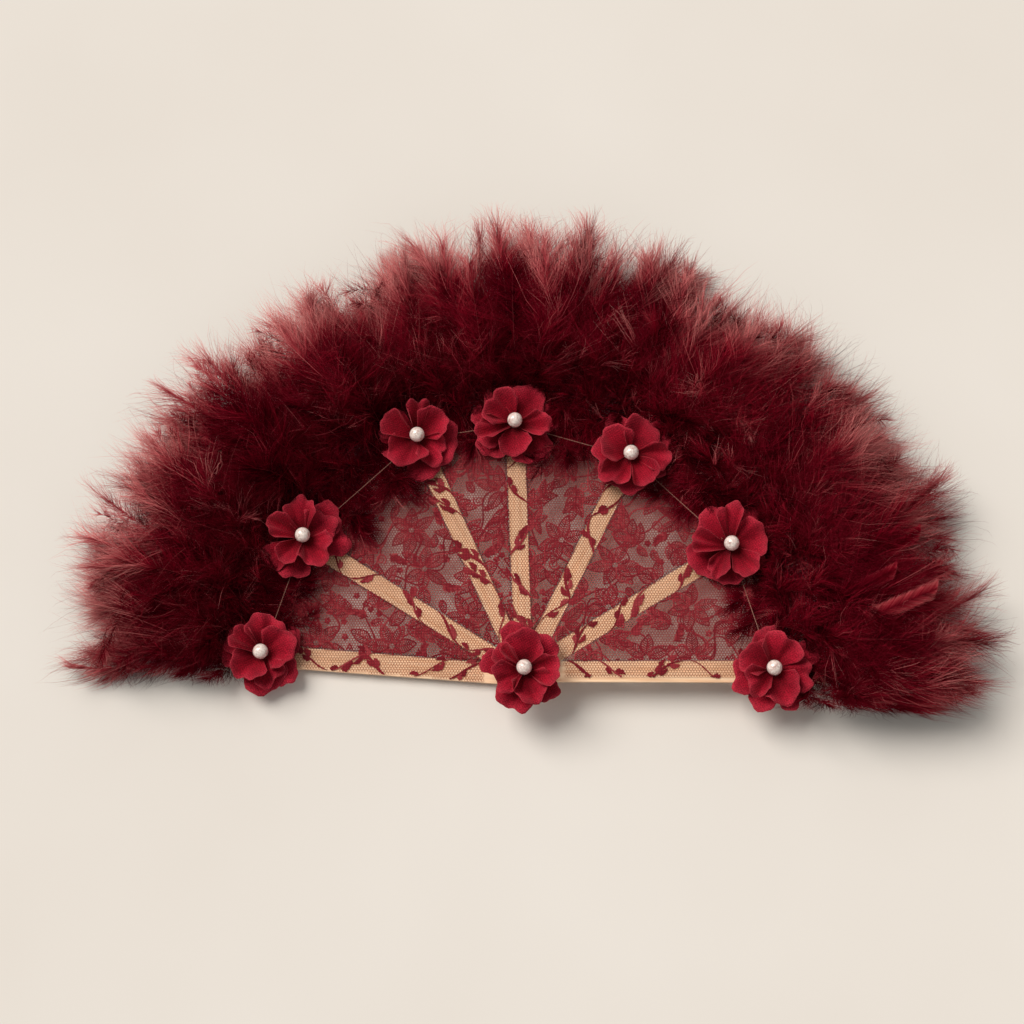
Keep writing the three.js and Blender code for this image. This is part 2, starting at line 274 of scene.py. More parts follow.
class Look:
    """A node material. Most of its methods add a node and give its output."""

    def __init__(self, name, **values):
        self.material = bpy.data.materials.new(name)
        self.material.use_nodes = True
        self.tree = self.material.node_tree
        self.set(**values)

    def put(self, sockets, values):
        """A value that is a node's output is linked to its socket, and a plain one is set."""
        for name, value in values.items():
            if isinstance(value, bpy.types.NodeSocket):
                self.tree.links.new(value, sockets[name])
            else:
                sockets[name].default_value = value

    def set(self, **values):
        """Values for the shader's sockets, whose names have underscores here."""
        sockets = self.tree.nodes["Principled BSDF"].inputs
        self.put(sockets, {name.replace("_", " "): value for name, value in values.items()})

    def add(self, kind, inputs=None, **settings):
        node = self.tree.nodes.new(f"ShaderNode{kind}")
        for key, value in settings.items():
            setattr(node, key, value)
        self.put(node.inputs, inputs or {})
        return node

    def ramp(self, factor, *stops):
        """A colour that follows factor through stops, each a position and a screen colour."""
        node = self.add("ValToRGB", {"Fac": factor})
        elements = node.color_ramp.elements
        stops = [(position, srgb(*colour)) for position, colour in stops]
        elements[0].position, elements[0].color = stops[0]
        elements[1].position, elements[1].color = stops[-1]
        for position, colour in stops[1:-1]:
            elements.new(position).color = colour
        return node.outputs["Color"]

    def spread(self, value, low, high, from_low=0.0, from_high=1.0):
        """A value carried into the range from low to high, and held at its ends."""
        inputs = {"Value": value, "From Min": from_low, "From Max": from_high, "To Min": low, "To Max": high}
        return self.add("MapRange", inputs).outputs["Result"]

    def compute(self, operation, *values):
        return self.add("Math", dict(enumerate(values)), operation=operation).outputs["Value"]

    def multiply(self, colour, *factors):
        """A colour or a place multiplied by each factor."""
        for factor in factors:
            colour = self.add("VectorMath", {0: colour, 1: factor}, operation="MULTIPLY").outputs["Vector"]
        return colour

    def mix(self, factor, first, second):
        """A colour between two."""
        inputs = {MIX_FACTOR: factor, MIX_FIRST: first, MIX_SECOND: second}
        return self.add("Mix", inputs, data_type="RGBA").outputs[MIX_COLOUR]

    def place(self, turn=0.0, stretch=(1, 1, 1)):
        """Object coordinates, turned back by an angle about Z and then stretched."""
        place = self.add("TexCoord").outputs["Object"]
        turned = self.add("VectorRotate", {"Vector": place, "Angle": -turn}, rotation_type="Z_AXIS")
        return self.multiply(turned.outputs["Vector"], stretch)

    def axes(self, map_name):
        """The two coordinates of a map."""
        place = self.add("UVMap", uv_map=map_name).outputs["UV"]
        axes = self.add("SeparateXYZ", {"Vector": place})
        return axes.outputs["X"], axes.outputs["Y"]

    def noise(self, scale=1.0, detail=3.0, roughness=0.5, turn=0.0, stretch=(1, 1, 1)):
        vector = self.place(turn, stretch)
        inputs = {"Vector": vector, "Scale": scale, "Detail": detail, "Roughness": roughness}
        return self.add("TexNoise", inputs).outputs["Fac"]

    def weave(self, turn, pitch):
        """Threads crossing at right angles, as a height."""
        inputs = {"Vector": self.place(turn), "Scale": WAVE_LENGTH / pitch, "Distortion": WAVE_DISTORTION}
        bands = [self.add("TexWave", inputs, bands_direction=axis).outputs["Fac"] for axis in ("X", "Y")]
        return self.compute("MULTIPLY", *bands)

    def finish(self, colour, roughness, height=None, depth=0.0, strength=1.0, **bump_inputs):
        """Sets the colour, the roughness and bumps of a depth, and gives the material."""
        self.set(Base_Color=colour, Roughness=roughness)
        if height is not None:
            inputs = {"Height": height, "Distance": depth, "Strength": strength, **bump_inputs}
            self.set(Normal=self.add("Bump", inputs).outputs["Normal"])
        return self.material


def wood_material(stick):
    """Light gold wood with its grain along the stick."""
    look = Look(f"wood_{stick.name}", Coat_Weight=0.15, Coat_Roughness=0.35)
    streaks = look.noise(detail=5.0, roughness=0.6, turn=stick.angle, stretch=(30, 900, 300))
    clouds = look.noise(turn=stick.angle, stretch=(60, 160, 60))
    pores = look.noise(detail=2.0, turn=stick.angle, stretch=(260, 4200, 1500))
    grain = look.ramp(
        streaks,
        (0.3, (230, 176, 130)), (0.48, (251, 208, 168)), (0.62, (254, 218, 180)), (0.8, (240, 190, 144)),
    )
    colour = look.multiply(grain, look.spread(clouds, 0.86, 1.1, from_low=0.3, from_high=0.7))
    return look.finish(colour, look.spread(streaks, 0.38, 0.58), pores, depth=0.06 * MM)


def brass_material():
    look = Look("brass", Metallic=1.0)
    tarnish = look.noise(420.0, detail=4.0)
    scratches = look.noise(detail=2.0, turn=0.6, stretch=(300, 6000, 300))
    colour = look.ramp(tarnish, (0.3, (150, 112, 58)), (0.7, (203, 165, 98)))
    return look.finish(colour, look.spread(scratches, 0.22, 0.46), scratches, depth=0.03 * MM)


# On lace, the map's second coordinate tells net from embroidery and its first is each thread's tone, which
# just beside the sticks is a painted shadow along the sticks' edges
NET_PITCH = 1.3 * MM
NET_BAND = 0.25
MOTIF_BAND = 0.75
TONE_SPREAD = 0.012


def lace_material():
    look = Look("lace", Sheen_Weight=0.08, Sheen_Roughness=0.5, Specular_IOR_Level=0.08)
    look.set(Sheen_Tint=srgb(220, 130, 126))
    tone, band = look.axes(BAKE_MAP)
    # The net's ramp starts with the dark painted shadow tones used just beside the sticks; its top end is the
    # net over the wood
    net = look.ramp(
        tone,
        (0.0, (78, 22, 24)), (0.1, (132, 62, 62)), (0.8, (166, 98, 92)), (0.88, (164, 104, 78)),
        (1.0, (204, 146, 110)),
    )
    motif = look.ramp(tone, (0.0, (110, 20, 31)), (0.6, (134, 36, 45)), (1.0, (158, 62, 66)))
    motif = look.multiply(motif, look.spread(look.weave(0.0, NET_PITCH), 0.8, 1.35))
    is_motif = look.compute("GREATER_THAN", band, (NET_BAND + MOTIF_BAND) / 2)
    roughness = look.spread(tone, 0.6, 0.85)
    fuzz = look.noise(4200.0, detail=2.0)
    return look.finish(look.mix(is_motif, net, motif), roughness, fuzz, depth=0.08 * MM)


def thread_material():
    look = Look("thread", Sheen_Weight=0.3)
    fuzz = look.noise(3000.0)
    colour = look.ramp(fuzz, (0.3, (124, 70, 58)), (0.7, (172, 116, 96)))
    return look.finish(colour, look.spread(fuzz, 0.5, 0.8), fuzz, depth=0.05 * MM)


PETAL_MAP = "petal"
PETAL_WEAVE = 1.0 * MM
PETAL_EDGE = (184, 66, 74)


def petal_material():
    """Crimson woven cloth, lighter along its cut edges, darker towards each petal's root as painted shade in
    the middle of the flower, and pinker towards the rim, partly as a painted highlight.
    """
    look = Look("petal_cloth", Sheen_Weight=0.54, Sheen_Roughness=0.4, Specular_IOR_Level=0.06)
    look.set(Sheen_Tint=srgb(246, 120, 130))
    along, across = look.axes(PETAL_MAP)
    patches = look.noise(90.0)
    cloth = look.weave(0.5, PETAL_WEAVE)
    grain = look.noise(2200.0, detail=0.0)
    # Along each petal the colour runs from painted shade at the root to a rim that is pinker, partly as a
    # painted highlight
    body = look.ramp(
        along, (0.0, (54, 0, 8)), (0.3, (112, 5, 21)), (0.75, (152, 21, 41)), (1.0, (166, 40, 57)),
    )
    shade = look.spread(patches, 0.7, 1.25, from_low=0.3, from_high=0.7)
    speck = look.spread(cloth, 0.86, 1.24)
    slub = look.spread(grain, 0.66, 1.42, from_low=0.3, from_high=0.7)
    toned = look.multiply(body, shade, speck, slub)
    to_side = look.compute("ABSOLUTE", look.compute("SUBTRACT", across, 0.5))
    side_edge = look.spread(to_side, 0.0, 0.4, from_low=0.485, from_high=0.5)
    rim_edge = look.spread(along, 0.0, 0.45, from_low=0.97, from_high=1.0)
    colour = look.mix(look.compute("MAXIMUM", side_edge, rim_edge), toned, srgb(*PETAL_EDGE))
    return look.finish(colour, look.spread(patches, 0.55, 0.78), cloth, depth=0.18 * MM, strength=0.8)


def pearl_material():
    look = Look("pearl", Coat_Weight=0.7, Coat_Roughness=0.08)
    clouds = look.noise(420.0)
    pits = look.noise(1100.0, detail=2.0)
    # The darker, pinker stops of the nacre are partly a painted reflection of the crimson petals round the
    # pearl, spread by noise rather than kept to its rim
    nacre = look.ramp(clouds, (0.3, (206, 168, 160)), (0.5, (250, 238, 230)), (0.72, (226, 190, 182)))
    colour = look.multiply(nacre, look.spread(pits, 0.74, 1.2, from_low=0.25, from_high=0.75))
    return look.finish(colour, look.spread(clouds, 0.14, 0.32), pits, depth=0.1 * MM, strength=0.6)


# On feathers, the map's first coordinate runs from a barb's root to its tip and its second is its tone.
# A second map holds the way that a barb faces, taken over the soft puff that it belongs to.
FACING_MAP = "facing"
QUILL_TONE = 0.96
LAST_BARB_TONE = 0.9
CRIMSON_TONE = 0.45
QUILL_COLOUR = (130, 52, 54)


def soft_facing(look):
    """The direction kept in the second map, as a normal in the scene."""
    x, y = (look.spread(axis, -1.0, 1.0) for axis in look.axes(FACING_MAP))
    flat_part = look.compute("ADD", look.compute("MULTIPLY", x, x), look.compute("MULTIPLY", y, y))
    z = look.compute("SQRT", look.compute("MAXIMUM", look.compute("SUBTRACT", 1.0, flat_part), 0.0))
    facing = look.add("CombineXYZ", {"X": x, "Y": y, "Z": z}).outputs["Vector"]
    ways = {"vector_type": "NORMAL", "convert_from": "OBJECT", "convert_to": "WORLD"}
    return look.add("VectorTransform", {"Vector": facing}, **ways).outputs["Vector"]


def feather_material():
    look = Look("feather", Specular_IOR_Level=0.0)
    along, tone = look.axes(BAKE_MAP)
    # All three ramps darken towards a barb's root: painted shade deep in the down. The pale pink ramp also
    # serves the painted glow at the fringe.
    dark = look.ramp(along, (0.0, (30, 0, 5)), (0.4, (52, 0, 9)), (0.8, (76, 0, 15)), (1.0, (96, 4, 22)))
    crimson = look.ramp(along, (0.0, (86, 0, 15)), (0.5, (132, 9, 30)), (1.0, (172, 42, 58)))
    pale_and_glow_pink = look.ramp(
        along, (0.0, (150, 32, 46)), (0.4, (196, 84, 90)), (0.8, (230, 138, 134)), (1.0, (244, 184, 174)),
    )
    redness = look.spread(tone, 0.0, 1.0, from_low=0.0, from_high=CRIMSON_TONE)
    paleness = look.spread(tone, 0.0, 1.0, from_low=CRIMSON_TONE, from_high=LAST_BARB_TONE)
    is_quill = look.spread(tone, 0.0, 1.0, from_low=LAST_BARB_TONE, from_high=QUILL_TONE)
    toned = look.mix(paleness, look.mix(redness, dark, crimson), pale_and_glow_pink)
    colour = look.mix(is_quill, toned, srgb(*QUILL_COLOUR))
    roughness = look.spread(along, 0.6, 0.8)
    fuzz = look.noise(2600.0, detail=2.0)
    return look.finish(colour, roughness, fuzz, depth=0.05 * MM, Normal=soft_facing(look))


def floor_material():
    look = Look("floor")
    clouds = look.noise(5.0)
    colour = look.ramp(clouds, (0.3, (229, 223, 216)), (0.7, (234, 229, 223)))
    return look.finish(colour, look.spread(clouds, 0.8, 0.9))


# Sticks and pivot: the packed solids with softened edges

STICK_BEVEL = 0.35 * MM
BRASS_BEVEL = 0.2 * MM
BEVEL_SEGMENTS = 2


def finish_node(node, material, bevel):
    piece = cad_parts[node]
    soft = piece.modifiers.new("soft_edges", "BEVEL")
    soft.width = bevel
    soft.segments = BEVEL_SEGMENTS
    soft.limit_method = "ANGLE"
    piece.data.materials.clear()
    piece.data.materials.append(material)


def dress_frame():
    for stick in sticks:
        finish_node(stick.name, wood_material(stick), STICK_BEVEL)
    brass = brass_material()
    for node in ("pivot_rivet", "pivot_washer_rear", "pivot_washer_front"):
        finish_node(node, brass, BRASS_BEVEL)


def close_with_gap(piece, gap):
    """The piece between two sticks is attached to the body of its gap and given a mesh of its own."""
    left, right = gaps[gap]
    middle = (left.angle + right.angle) / 2
    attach(piece, f"leaf_{gap + 1}")
    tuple(direction(middle + math.pi / 2))
    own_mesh(piece)


# Lace: a six-sided net with raised embroidery, laid over the fronts of the sticks

LACE_SEED = 11
LACE_INNER = 19 * MM
LACE_OUTER = 131 * MM
LACE_SCALLOP = 2.2 * MM
LACE_SCALLOPS = 41
LACE_CLEAR = 0.42 * MM
LACE_RISE_SHARE = 0.35
LEFT_GUARD_MARGIN = 0.4 * MM
RIGHT_GUARD_MARGIN = 2.2 * MM
NET_BELOW_PIVOT = 12 * MM
NET_SIDES = 6
NET_SNAP = NET_PITCH / 64
NET_HOLE = 0.43 * MM
WOOD_HOLE = 0.52 * MM
NET_CREST = 0.08 * MM
NET_TONE = (0.1, 0.78)
GILT_TONE = (0.86, 0.98)
# Net threads within this width of a stick take the darkest tones: a painted shadow along the stick's edges
PAINTED_SHADOW_TONE = (0.0, 0.05)
PAINTED_SHADOW_WIDTH = 1.0 * MM
MOTIF_LIFT = 0.12 * MM
MOTIF_CREST = 0.16 * MM
STICK_MARGIN = 0.45 * MM


def lace_height(points):
    """Height of the lace over each point: on the fronts of the sticks, rising from each to the next."""
    radius = radius_of(points)
    angle = angle_of(points)
    height = np.where(angle > sticks[0].angle, sticks[0].top, sticks[-1].top)
    for left, right in gaps:
        inside = (angle <= left.angle) & (angle > right.angle)
        past_left = radius * np.sin(left.angle - angle) - half_width(left, radius)
        before_right = radius * np.sin(angle - right.angle) - half_width(right, radius)
        room = np.maximum(past_left, 0) + np.maximum(before_right, 0) + TINY
        share = np.clip(past_left / (LACE_RISE_SHARE * room), 0, 1)
        share = np.where(before_right <= 0, 1.0, share)
        height = np.where(inside, left.top + (right.top - left.top) * share, height)
    return height + LACE_CLEAR


def lace_gap(points):
    """The gap that each point of the leaf belongs to, or -1 off the leaf."""
    radius = radius_of(points)
    angle = angle_of(points)
    inner_angles = np.array([s.angle for s in sticks[1:-1]])
    gap = (angle[:, None] < inner_angles[None, :]).sum(1)
    over_left = radius * np.sin(angle - sticks[0].angle)
    over_right = radius * np.sin(sticks[-1].angle - angle)
    outer = LACE_OUTER - LACE_SCALLOP * np.abs(np.sin(angle * LACE_SCALLOPS))
    off = (radius < LACE_INNER) | (radius > outer)
    off |= over_left > half_width(sticks[0], radius) - LEFT_GUARD_MARGIN
    off |= over_right > half_width(sticks[-1], radius) - RIGHT_GUARD_MARGIN
    return np.where(off, -1, gap)


def over_stick(points, margin):
    """Whether each point lies over a stick, or within a margin beside it."""
    over = np.zeros(len(points), bool)
    for stick in sticks:
        along, across = beside(points, stick.angle)
        over |= (along > 0) & (np.abs(across) < half_width(stick, along) + margin)
    return over


def net_centres():
    """Centres of the net's cells over the whole leaf."""
    row_step = NET_PITCH * math.sqrt(3) / 2
    rows = np.arange(-int(NET_BELOW_PIVOT / row_step), int(LACE_OUTER / row_step) + 1)
    columns = np.arange(-int(LACE_OUTER / NET_PITCH) - 1, int(LACE_OUTER / NET_PITCH) + 2)
    row, column = np.meshgrid(rows, columns, indexing="ij")
    x = (column + 0.5 * (row % 2)) * NET_PITCH
    return np.stack([x.ravel(), row.ravel() * row_step], -1)


def add_net(parts, centres, rng):
    """Cells of the net: each a ring from a shared crest down to its hole."""
    half_side = math.pi / NET_SIDES
    spokes = flat(half_side + ring_angles(NET_SIDES))
    crest = (centres[:, None] + spokes * NET_PITCH / math.sqrt(3)).reshape(-1, 2)
    hole_size = np.where(over_stick(centres, 0.0), WOOD_HOLE, NET_HOLE) / math.cos(half_side)
    hole = (centres[:, None] + spokes * hole_size[:, None, None]).reshape(-1, 2)
    keys = np.round(crest / NET_SNAP).astype(np.int64)
    _, first, shared = np.unique(keys, axis=0, return_index=True, return_inverse=True)
    points = np.concatenate([crest[first], hole])
    height = lace_height(points)
    height[: len(first)] += NET_CREST
    crest_index = shared.reshape(-1, NET_SIDES)
    hole_index = len(first) + np.arange(len(hole)).reshape(-1, NET_SIDES)
    crest_next = np.roll(crest_index, -1, 1)
    hole_next = np.roll(hole_index, -1, 1)
    quads = np.stack([crest_index, crest_next, hole_next, hole_index], -1).reshape(-1, 4)
    n = len(points)
    # Net just beside a stick gets the dark painted shadow tones, net over a stick the tones over the wood
    tone = np.where(over_stick(points, PAINTED_SHADOW_WIDTH), rng.uniform(*PAINTED_SHADOW_TONE, n), rng.uniform(*NET_TONE, n))
    tone = np.where(over_stick(points, 0.0), rng.uniform(*GILT_TONE, n), tone)
    band = np.full(n, NET_BAND)
    band[: len(first)] += 2 * TONE_SPREAD
    parts.add(np.concatenate([points, height[:, None]], 1), np.stack([tone, band], -1), quads)


# Embroidery of the lace

STROKE_TONE = (0.05, 0.95)
BAR_HALF = 0.27 * MM
OUTLINE_HALF = 0.32 * MM
VINE_HALF = 0.38 * MM
FROND_HALF = 0.6 * MM
BAR_SPACING = 1.0 * MM
LEAF_BELLY = 0.8
LEAF = Group(
    points=12, rib=1.25, rib_taper=0.8, fullness=0.9, barred=0.8, least_bars=3, bar_points=3, first_bar=0.08,
    bar_zone=0.74, bar_slant=0.14,
)
LILY = Group(
    petals=6, turn=0.1, heart=0.12, length=(0.75, 1.05), width=(0.38, 0.5), bend=0.15, stamen=(0.1, 0.55),
    stamen_points=5,
)
SPRAY = Group(
    points=10, stem_points=8, bend=0.35, leaf_steps=(1, 3, 5), leaf_turn=(0.75, 1.05),
    leaf_length=(0.78, 1.0),
    leaf_width=0.42, leaf_bend=0.2, end_step=6, end_length=0.9, end_width=0.45, end_bend=0.05,
)
LONE_LEAF = Group(width=1.05, bend=0.2)
FROND = Group(
    points=9, bend=1.2, stem=1.1, stem_taper=0.6, leaf=0.75, first_leaf=1.1, leaf_taper=0.7,
    leaf_size=(0.85, 1.15), leaf_points=6, leaf_turn=(0.8, 1.1), leaf_curl=0.6, swell=(0.12, 0.83),
)
ROSETTE = Group(petals=5, points=6, heart=0.12, thin=0.12, swell=0.3)
CURL = Group(points=22, wind=3.3 * math.pi, reach=1.05, draw_in=0.85, taper=0.4)
VINE = Group(least=8 * MM, neighbours=3, points=26, ends=(0.1, 0.9), sway=(0.12, 0.3))
SCROLL = Group(
    per_stick=6, spot=(0.2, 0.8), points=41, reach=(6, 11), bow=3, half=0.8 * MM, weight=(0.35, 1.2),
    thin=0.3,
    ragged=(0.6, 1.3), leaves=(2, 7), leaf_zone=(6, 36), leaf_half=1.25 * MM, leaf_points=13,
    leaf_turn=(0.7, 1.1), leaf_curl=1.2, leaf_length=(4.5, 7), swell=(0.08, 0.88),
)


class Strokes:
    """Embroidered strokes: runs of points in the leaf's plane, each with a half width."""

    def __init__(self, rng):
        self.rng = rng
        self.points = []
        self.half = []
        self.tone = []
        self.starts = []
        self.count = 0

    def add(self, points, half):
        n = len(points)
        self.points.append(points)
        self.half.append(np.broadcast_to(half, n))
        self.tone.append(np.full(n, self.rng.uniform(*STROKE_TONE)))
        self.starts.append(self.count + np.arange(n - 1))
        self.count += n

    def joined(self):
        """All strokes in one, with the first point and the middle of each step."""
        points, half, tone, starts = map(np.concatenate, (self.points, self.half, self.tone, self.starts))
        middles = (points[starts] + points[starts + 1]) / 2
        return Group(points=points, half=half, tone=tone, starts=starts, middles=middles)


def walk(turn, step):
    """Points reached by equal steps, each in its own direction."""
    return np.cumsum(flat(turn), 0) * step


def leaf_swell(s, root, zone):
    """Thickness of a solid leaf from its root to its tip."""
    return np.sin(math.pi * (root + zone * s ** LEAF_BELLY))


def add_leaf(strokes, root, heading, length, width, bend):
    """A leaf with a midrib, an outline and slanted bars."""
    ahead = flat(heading)
    side = flat(heading + math.pi / 2)

    def axis(t):
        t = t[:, None]
        return root + length * (t * ahead + bend * t * t * side)

    def half(t):
        return width / 2 * np.sin(math.pi * np.clip(t, 0, 1) ** LEAF_BELLY) ** LEAF.fullness

    t = np.linspace(0, 1, LEAF.points)
    strokes.add(axis(t), BAR_HALF * (LEAF.rib - LEAF.rib_taper * t))
    for sign in (-1, 1):
        strokes.add(axis(t) + sign * half(t)[:, None] * side, OUTLINE_HALF)
    reach = np.linspace(0, 1, LEAF.bar_points)
    bars = max(LEAF.least_bars, int(length * LEAF.barred / BAR_SPACING))
    for i in range(bars):
        t = LEAF.first_bar + LEAF.bar_zone * i / bars + LEAF.bar_slant * reach
        for sign in (-1, 1):
            strokes.add(axis(t) + (sign * reach * half(t))[:, None] * side, BAR_HALF)


def add_lily_motif(strokes, centre, radius, rng):
    """An open flower of pointed petals of uneven length, with stamens between them."""
    turn = rng.uniform(0, CIRCLE)
    stamen = radius * np.linspace(*LILY.stamen, LILY.stamen_points)[:, None]
    for i in range(LILY.petals):
        heading = turn + CIRCLE * i / LILY.petals + rng.normal(0, LILY.turn)
        root = centre + radius * LILY.heart * flat(heading)
        length = radius * rng.uniform(*LILY.length)
        width = radius * rng.uniform(*LILY.width)
        add_leaf(strokes, root, heading, length, width, either_way(rng, LILY.bend))
        strokes.add(centre + stamen * flat(heading + math.pi / LILY.petals), BAR_HALF)


def add_spray_motif(strokes, centre, radius, rng):
    """A bent stem with leaves on both sides and one at its end."""
    heading = rng.uniform(0, CIRCLE)
    bend = either_way(rng, SPRAY.bend)
    t = np.linspace(-1, 1, SPRAY.points)[:, None]
    stem = centre + radius * (t * flat(heading) + bend * (1 - t ** 2) * flat(heading + math.pi / 2))
    strokes.add(stem[:SPRAY.stem_points], VINE_HALF)
    for step in SPRAY.leaf_steps:
        for sign in (-1, 1):
            turn = heading + sign * rng.uniform(*SPRAY.leaf_turn)
            length = radius * rng.uniform(*SPRAY.leaf_length)
            add_leaf(strokes, stem[step], turn, length, radius * SPRAY.leaf_width, -sign * SPRAY.leaf_bend)
    length, width = radius * SPRAY.end_length, radius * SPRAY.end_width
    add_leaf(strokes, stem[SPRAY.end_step], heading - bend, length, width, SPRAY.end_bend)


def add_leaf_motif(strokes, centre, radius, rng):
    heading = rng.uniform(0, CIRCLE)
    root = centre - radius * flat(heading)
    width = radius * LONE_LEAF.width
    add_leaf(strokes, root, heading, 2 * radius, width, either_way(rng, LONE_LEAF.bend))


def add_frond_motif(strokes, centre, radius, rng):
    """A curved stem with pairs of narrow solid leaves that shrink towards its end."""
    heading = rng.uniform(0, CIRCLE)
    bend = either_way(rng, FROND.bend)
    t = np.linspace(0, 1, FROND.points)
    turn = heading + bend * (t - 0.5)
    stem = centre - radius * flat(heading) + walk(turn, 2 * radius / FROND.points)
    strokes.add(stem, VINE_HALF * (FROND.stem - FROND.stem_taper * t))
    s = np.linspace(0, 1, FROND.leaf_points)
    for k in range(1, FROND.points):
        shrunk = FROND.leaf * (FROND.first_leaf - FROND.leaf_taper * t[k])
        size = radius * shrunk * rng.uniform(*FROND.leaf_size)
        for sign in (-1, 1):
            lean = turn[k] + sign * rng.uniform(*FROND.leaf_turn) - sign * FROND.leaf_curl * s[:-1]
            run = walk(lean, size / len(lean))
            half = FROND_HALF * leaf_swell(s, *FROND.swell)
            strokes.add(stem[k] + np.concatenate([np.zeros((1, 2)), run]), half)


def add_rosette_motif(strokes, centre, radius, rng):
    turn = rng.uniform(0, CIRCLE)
    t = np.linspace(ROSETTE.heart, 1, ROSETTE.points)
    half = radius * (ROSETTE.thin + ROSETTE.swell * np.sin(math.pi * t))
    for angle in turn + ring_angles(ROSETTE.petals):
        strokes.add(centre + radius * t[:, None] * flat(angle), half)


def add_curl_motif(strokes, centre, radius, rng):
    """A tendril wound into a spiral."""
    turn = rng.uniform(0, CIRCLE)
    way = rng.choice([-1, 1])
    t = np.linspace(0, 1, CURL.points)
    reach = radius * (CURL.reach - CURL.draw_in * t)
    strokes.add(centre + polar(reach, turn + way * CURL.wind * t), VINE_HALF * (1 - CURL.taper * t))


# Kinds of motif, from large to small: how it is drawn, its radius and how often a place is tried for it
MOTIFS = [
    (add_lily_motif, 12 * MM, 120),
    (add_spray_motif, 11 * MM, 200),
    (add_spray_motif, 8 * MM, 400),
    (add_frond_motif, 8.5 * MM, 400),
    (add_lily_motif, 6.5 * MM, 200),
    (add_leaf_motif, 5.5 * MM, 700),
    (add_frond_motif, 5 * MM, 900),
    (add_leaf_motif, 3.2 * MM, 900),
    (add_curl_motif, 2.6 * MM, 300),
    (add_rosette_motif, 1.7 * MM, 700),
]
MOTIF_PACKING = 0.8
MOTIF_PAST_GUARDS = 0.03


def embroider(rng):
    """Motifs thrown over the leaf, the large ones first, with vines between those."""
    strokes = Strokes(rng)
    places = np.zeros((0, 3))
    first_angle, last_angle = sticks[-1].angle - MOTIF_PAST_GUARDS, sticks[0].angle + MOTIF_PAST_GUARDS
    for draw, radius, tries in MOTIFS:
        for _ in range(tries):
            distance = math.sqrt(rng.uniform(LACE_INNER ** 2, LACE_OUTER ** 2))
            centre = polar(distance, rng.uniform(first_angle, last_angle))
            reach = radius_of(places[:, :2] - centre)
            if np.all(reach > MOTIF_PACKING * (places[:, 2] + radius)):
                draw(strokes, centre, radius, rng)
                places = np.vstack([places, [*centre, radius]])
    add_vines(strokes, places[places[:, 2] > VINE.least, :2], rng)
    return strokes.joined()


def add_vines(strokes, places, rng):
    """Stems that sway from each large motif to the nearest others."""
    t = np.linspace(*VINE.ends, VINE.points)
    for start in places:
        nearest = np.argsort(radius_of(places - start))
        for end in places[nearest[1:VINE.neighbours + 1]]:
            sway = rng.uniform(*VINE.sway) * rng.choice([-1, 1])
            bow = (sway * np.sin(CIRCLE * t))[:, None] * left_of(end - start)
            strokes.add(start + t[:, None] * (end - start) + bow, VINE_HALF)


def add_scroll(strokes, stick, distance, rng):
    """A flowing stem that crosses a stick at a slant, with leaves that curl away from it."""
    way = rng.choice([-1, 1])
    t = np.linspace(-1, 1, SCROLL.points)
    along = distance + rng.uniform(*SCROLL.reach) * MM * t + either_way(rng, SCROLL.bow) * MM * t * t
    across = way * half_width(stick, distance) * np.sin(math.pi / 2 * t)
    run = along[:, None] * flat(stick.angle) + across[:, None] * flat(stick.angle + math.pi / 2)
    weight = rng.uniform(*SCROLL.weight)
    half = weight * SCROLL.half * (SCROLL.thin + (1 - SCROLL.thin) * np.cos(math.pi / 2 * t))
    strokes.add(run, half * rng.uniform(*SCROLL.ragged, len(t)))
    s = np.linspace(0, 1, SCROLL.leaf_points)
    for k in rng.choice(np.arange(*SCROLL.leaf_zone), rng.integers(*SCROLL.leaves), replace=False):
        heading = math.atan2(*(run[k + 1] - run[k])[::-1])
        turn = heading + rng.choice([-1, 1]) * (rng.uniform(*SCROLL.leaf_turn) - SCROLL.leaf_curl * s)
        curve = run[k] + walk(turn, rng.uniform(*SCROLL.leaf_length) * MM / len(s))
        half = SCROLL.leaf_half * leaf_swell(s, *SCROLL.swell)
        strokes.add(curve, half * rng.uniform(*SCROLL.ragged, len(s)))


def gild_sticks(rng):
    """The few stems that cross each stick."""
    strokes = Strokes(rng)
    step = (LACE_OUTER - LACE_INNER) / SCROLL.per_stick
    for stick in sticks:
        for i in range(SCROLL.per_stick):
            add_scroll(strokes, stick, LACE_INNER + step * (i + rng.uniform(*SCROLL.spot)), rng)
    return strokes.joined()


def add_strokes(parts, strokes, starts):
    """Raised ribbons along the strokes' steps: an edge, a crest and an edge."""
    used, local = np.unique(np.concatenate([starts, starts + 1]), return_inverse=True)
    first, second = local[: len(starts)], local[len(starts):]
    step = unit(strokes.points[starts + 1] - strokes.points[starts])
    heading = np.zeros((len(used), 2))
    np.add.at(heading, first, step)
    np.add.at(heading, second, step)
    side = left_of(unit(heading)) * strokes.half[used][:, None]
    middle = strokes.points[used]
    points = np.concatenate([middle + side, middle, middle - side])
    height = lace_height(points) + MOTIF_LIFT
    n = len(used)
    height[n: 2 * n] += MOTIF_CREST
    quads = np.concatenate([
        np.stack([first + n, second + n, second, first], -1),
        np.stack([first + 2 * n, second + 2 * n, second + n, first + n], -1),
    ])
    tone = np.tile(strokes.tone[used], 3)
    band = np.repeat(MOTIF_BAND + TONE_SPREAD * np.array([-1, 0, 1]), n)
    parts.add(np.concatenate([points, height[:, None]], 1), np.stack([tone, band], -1), quads)


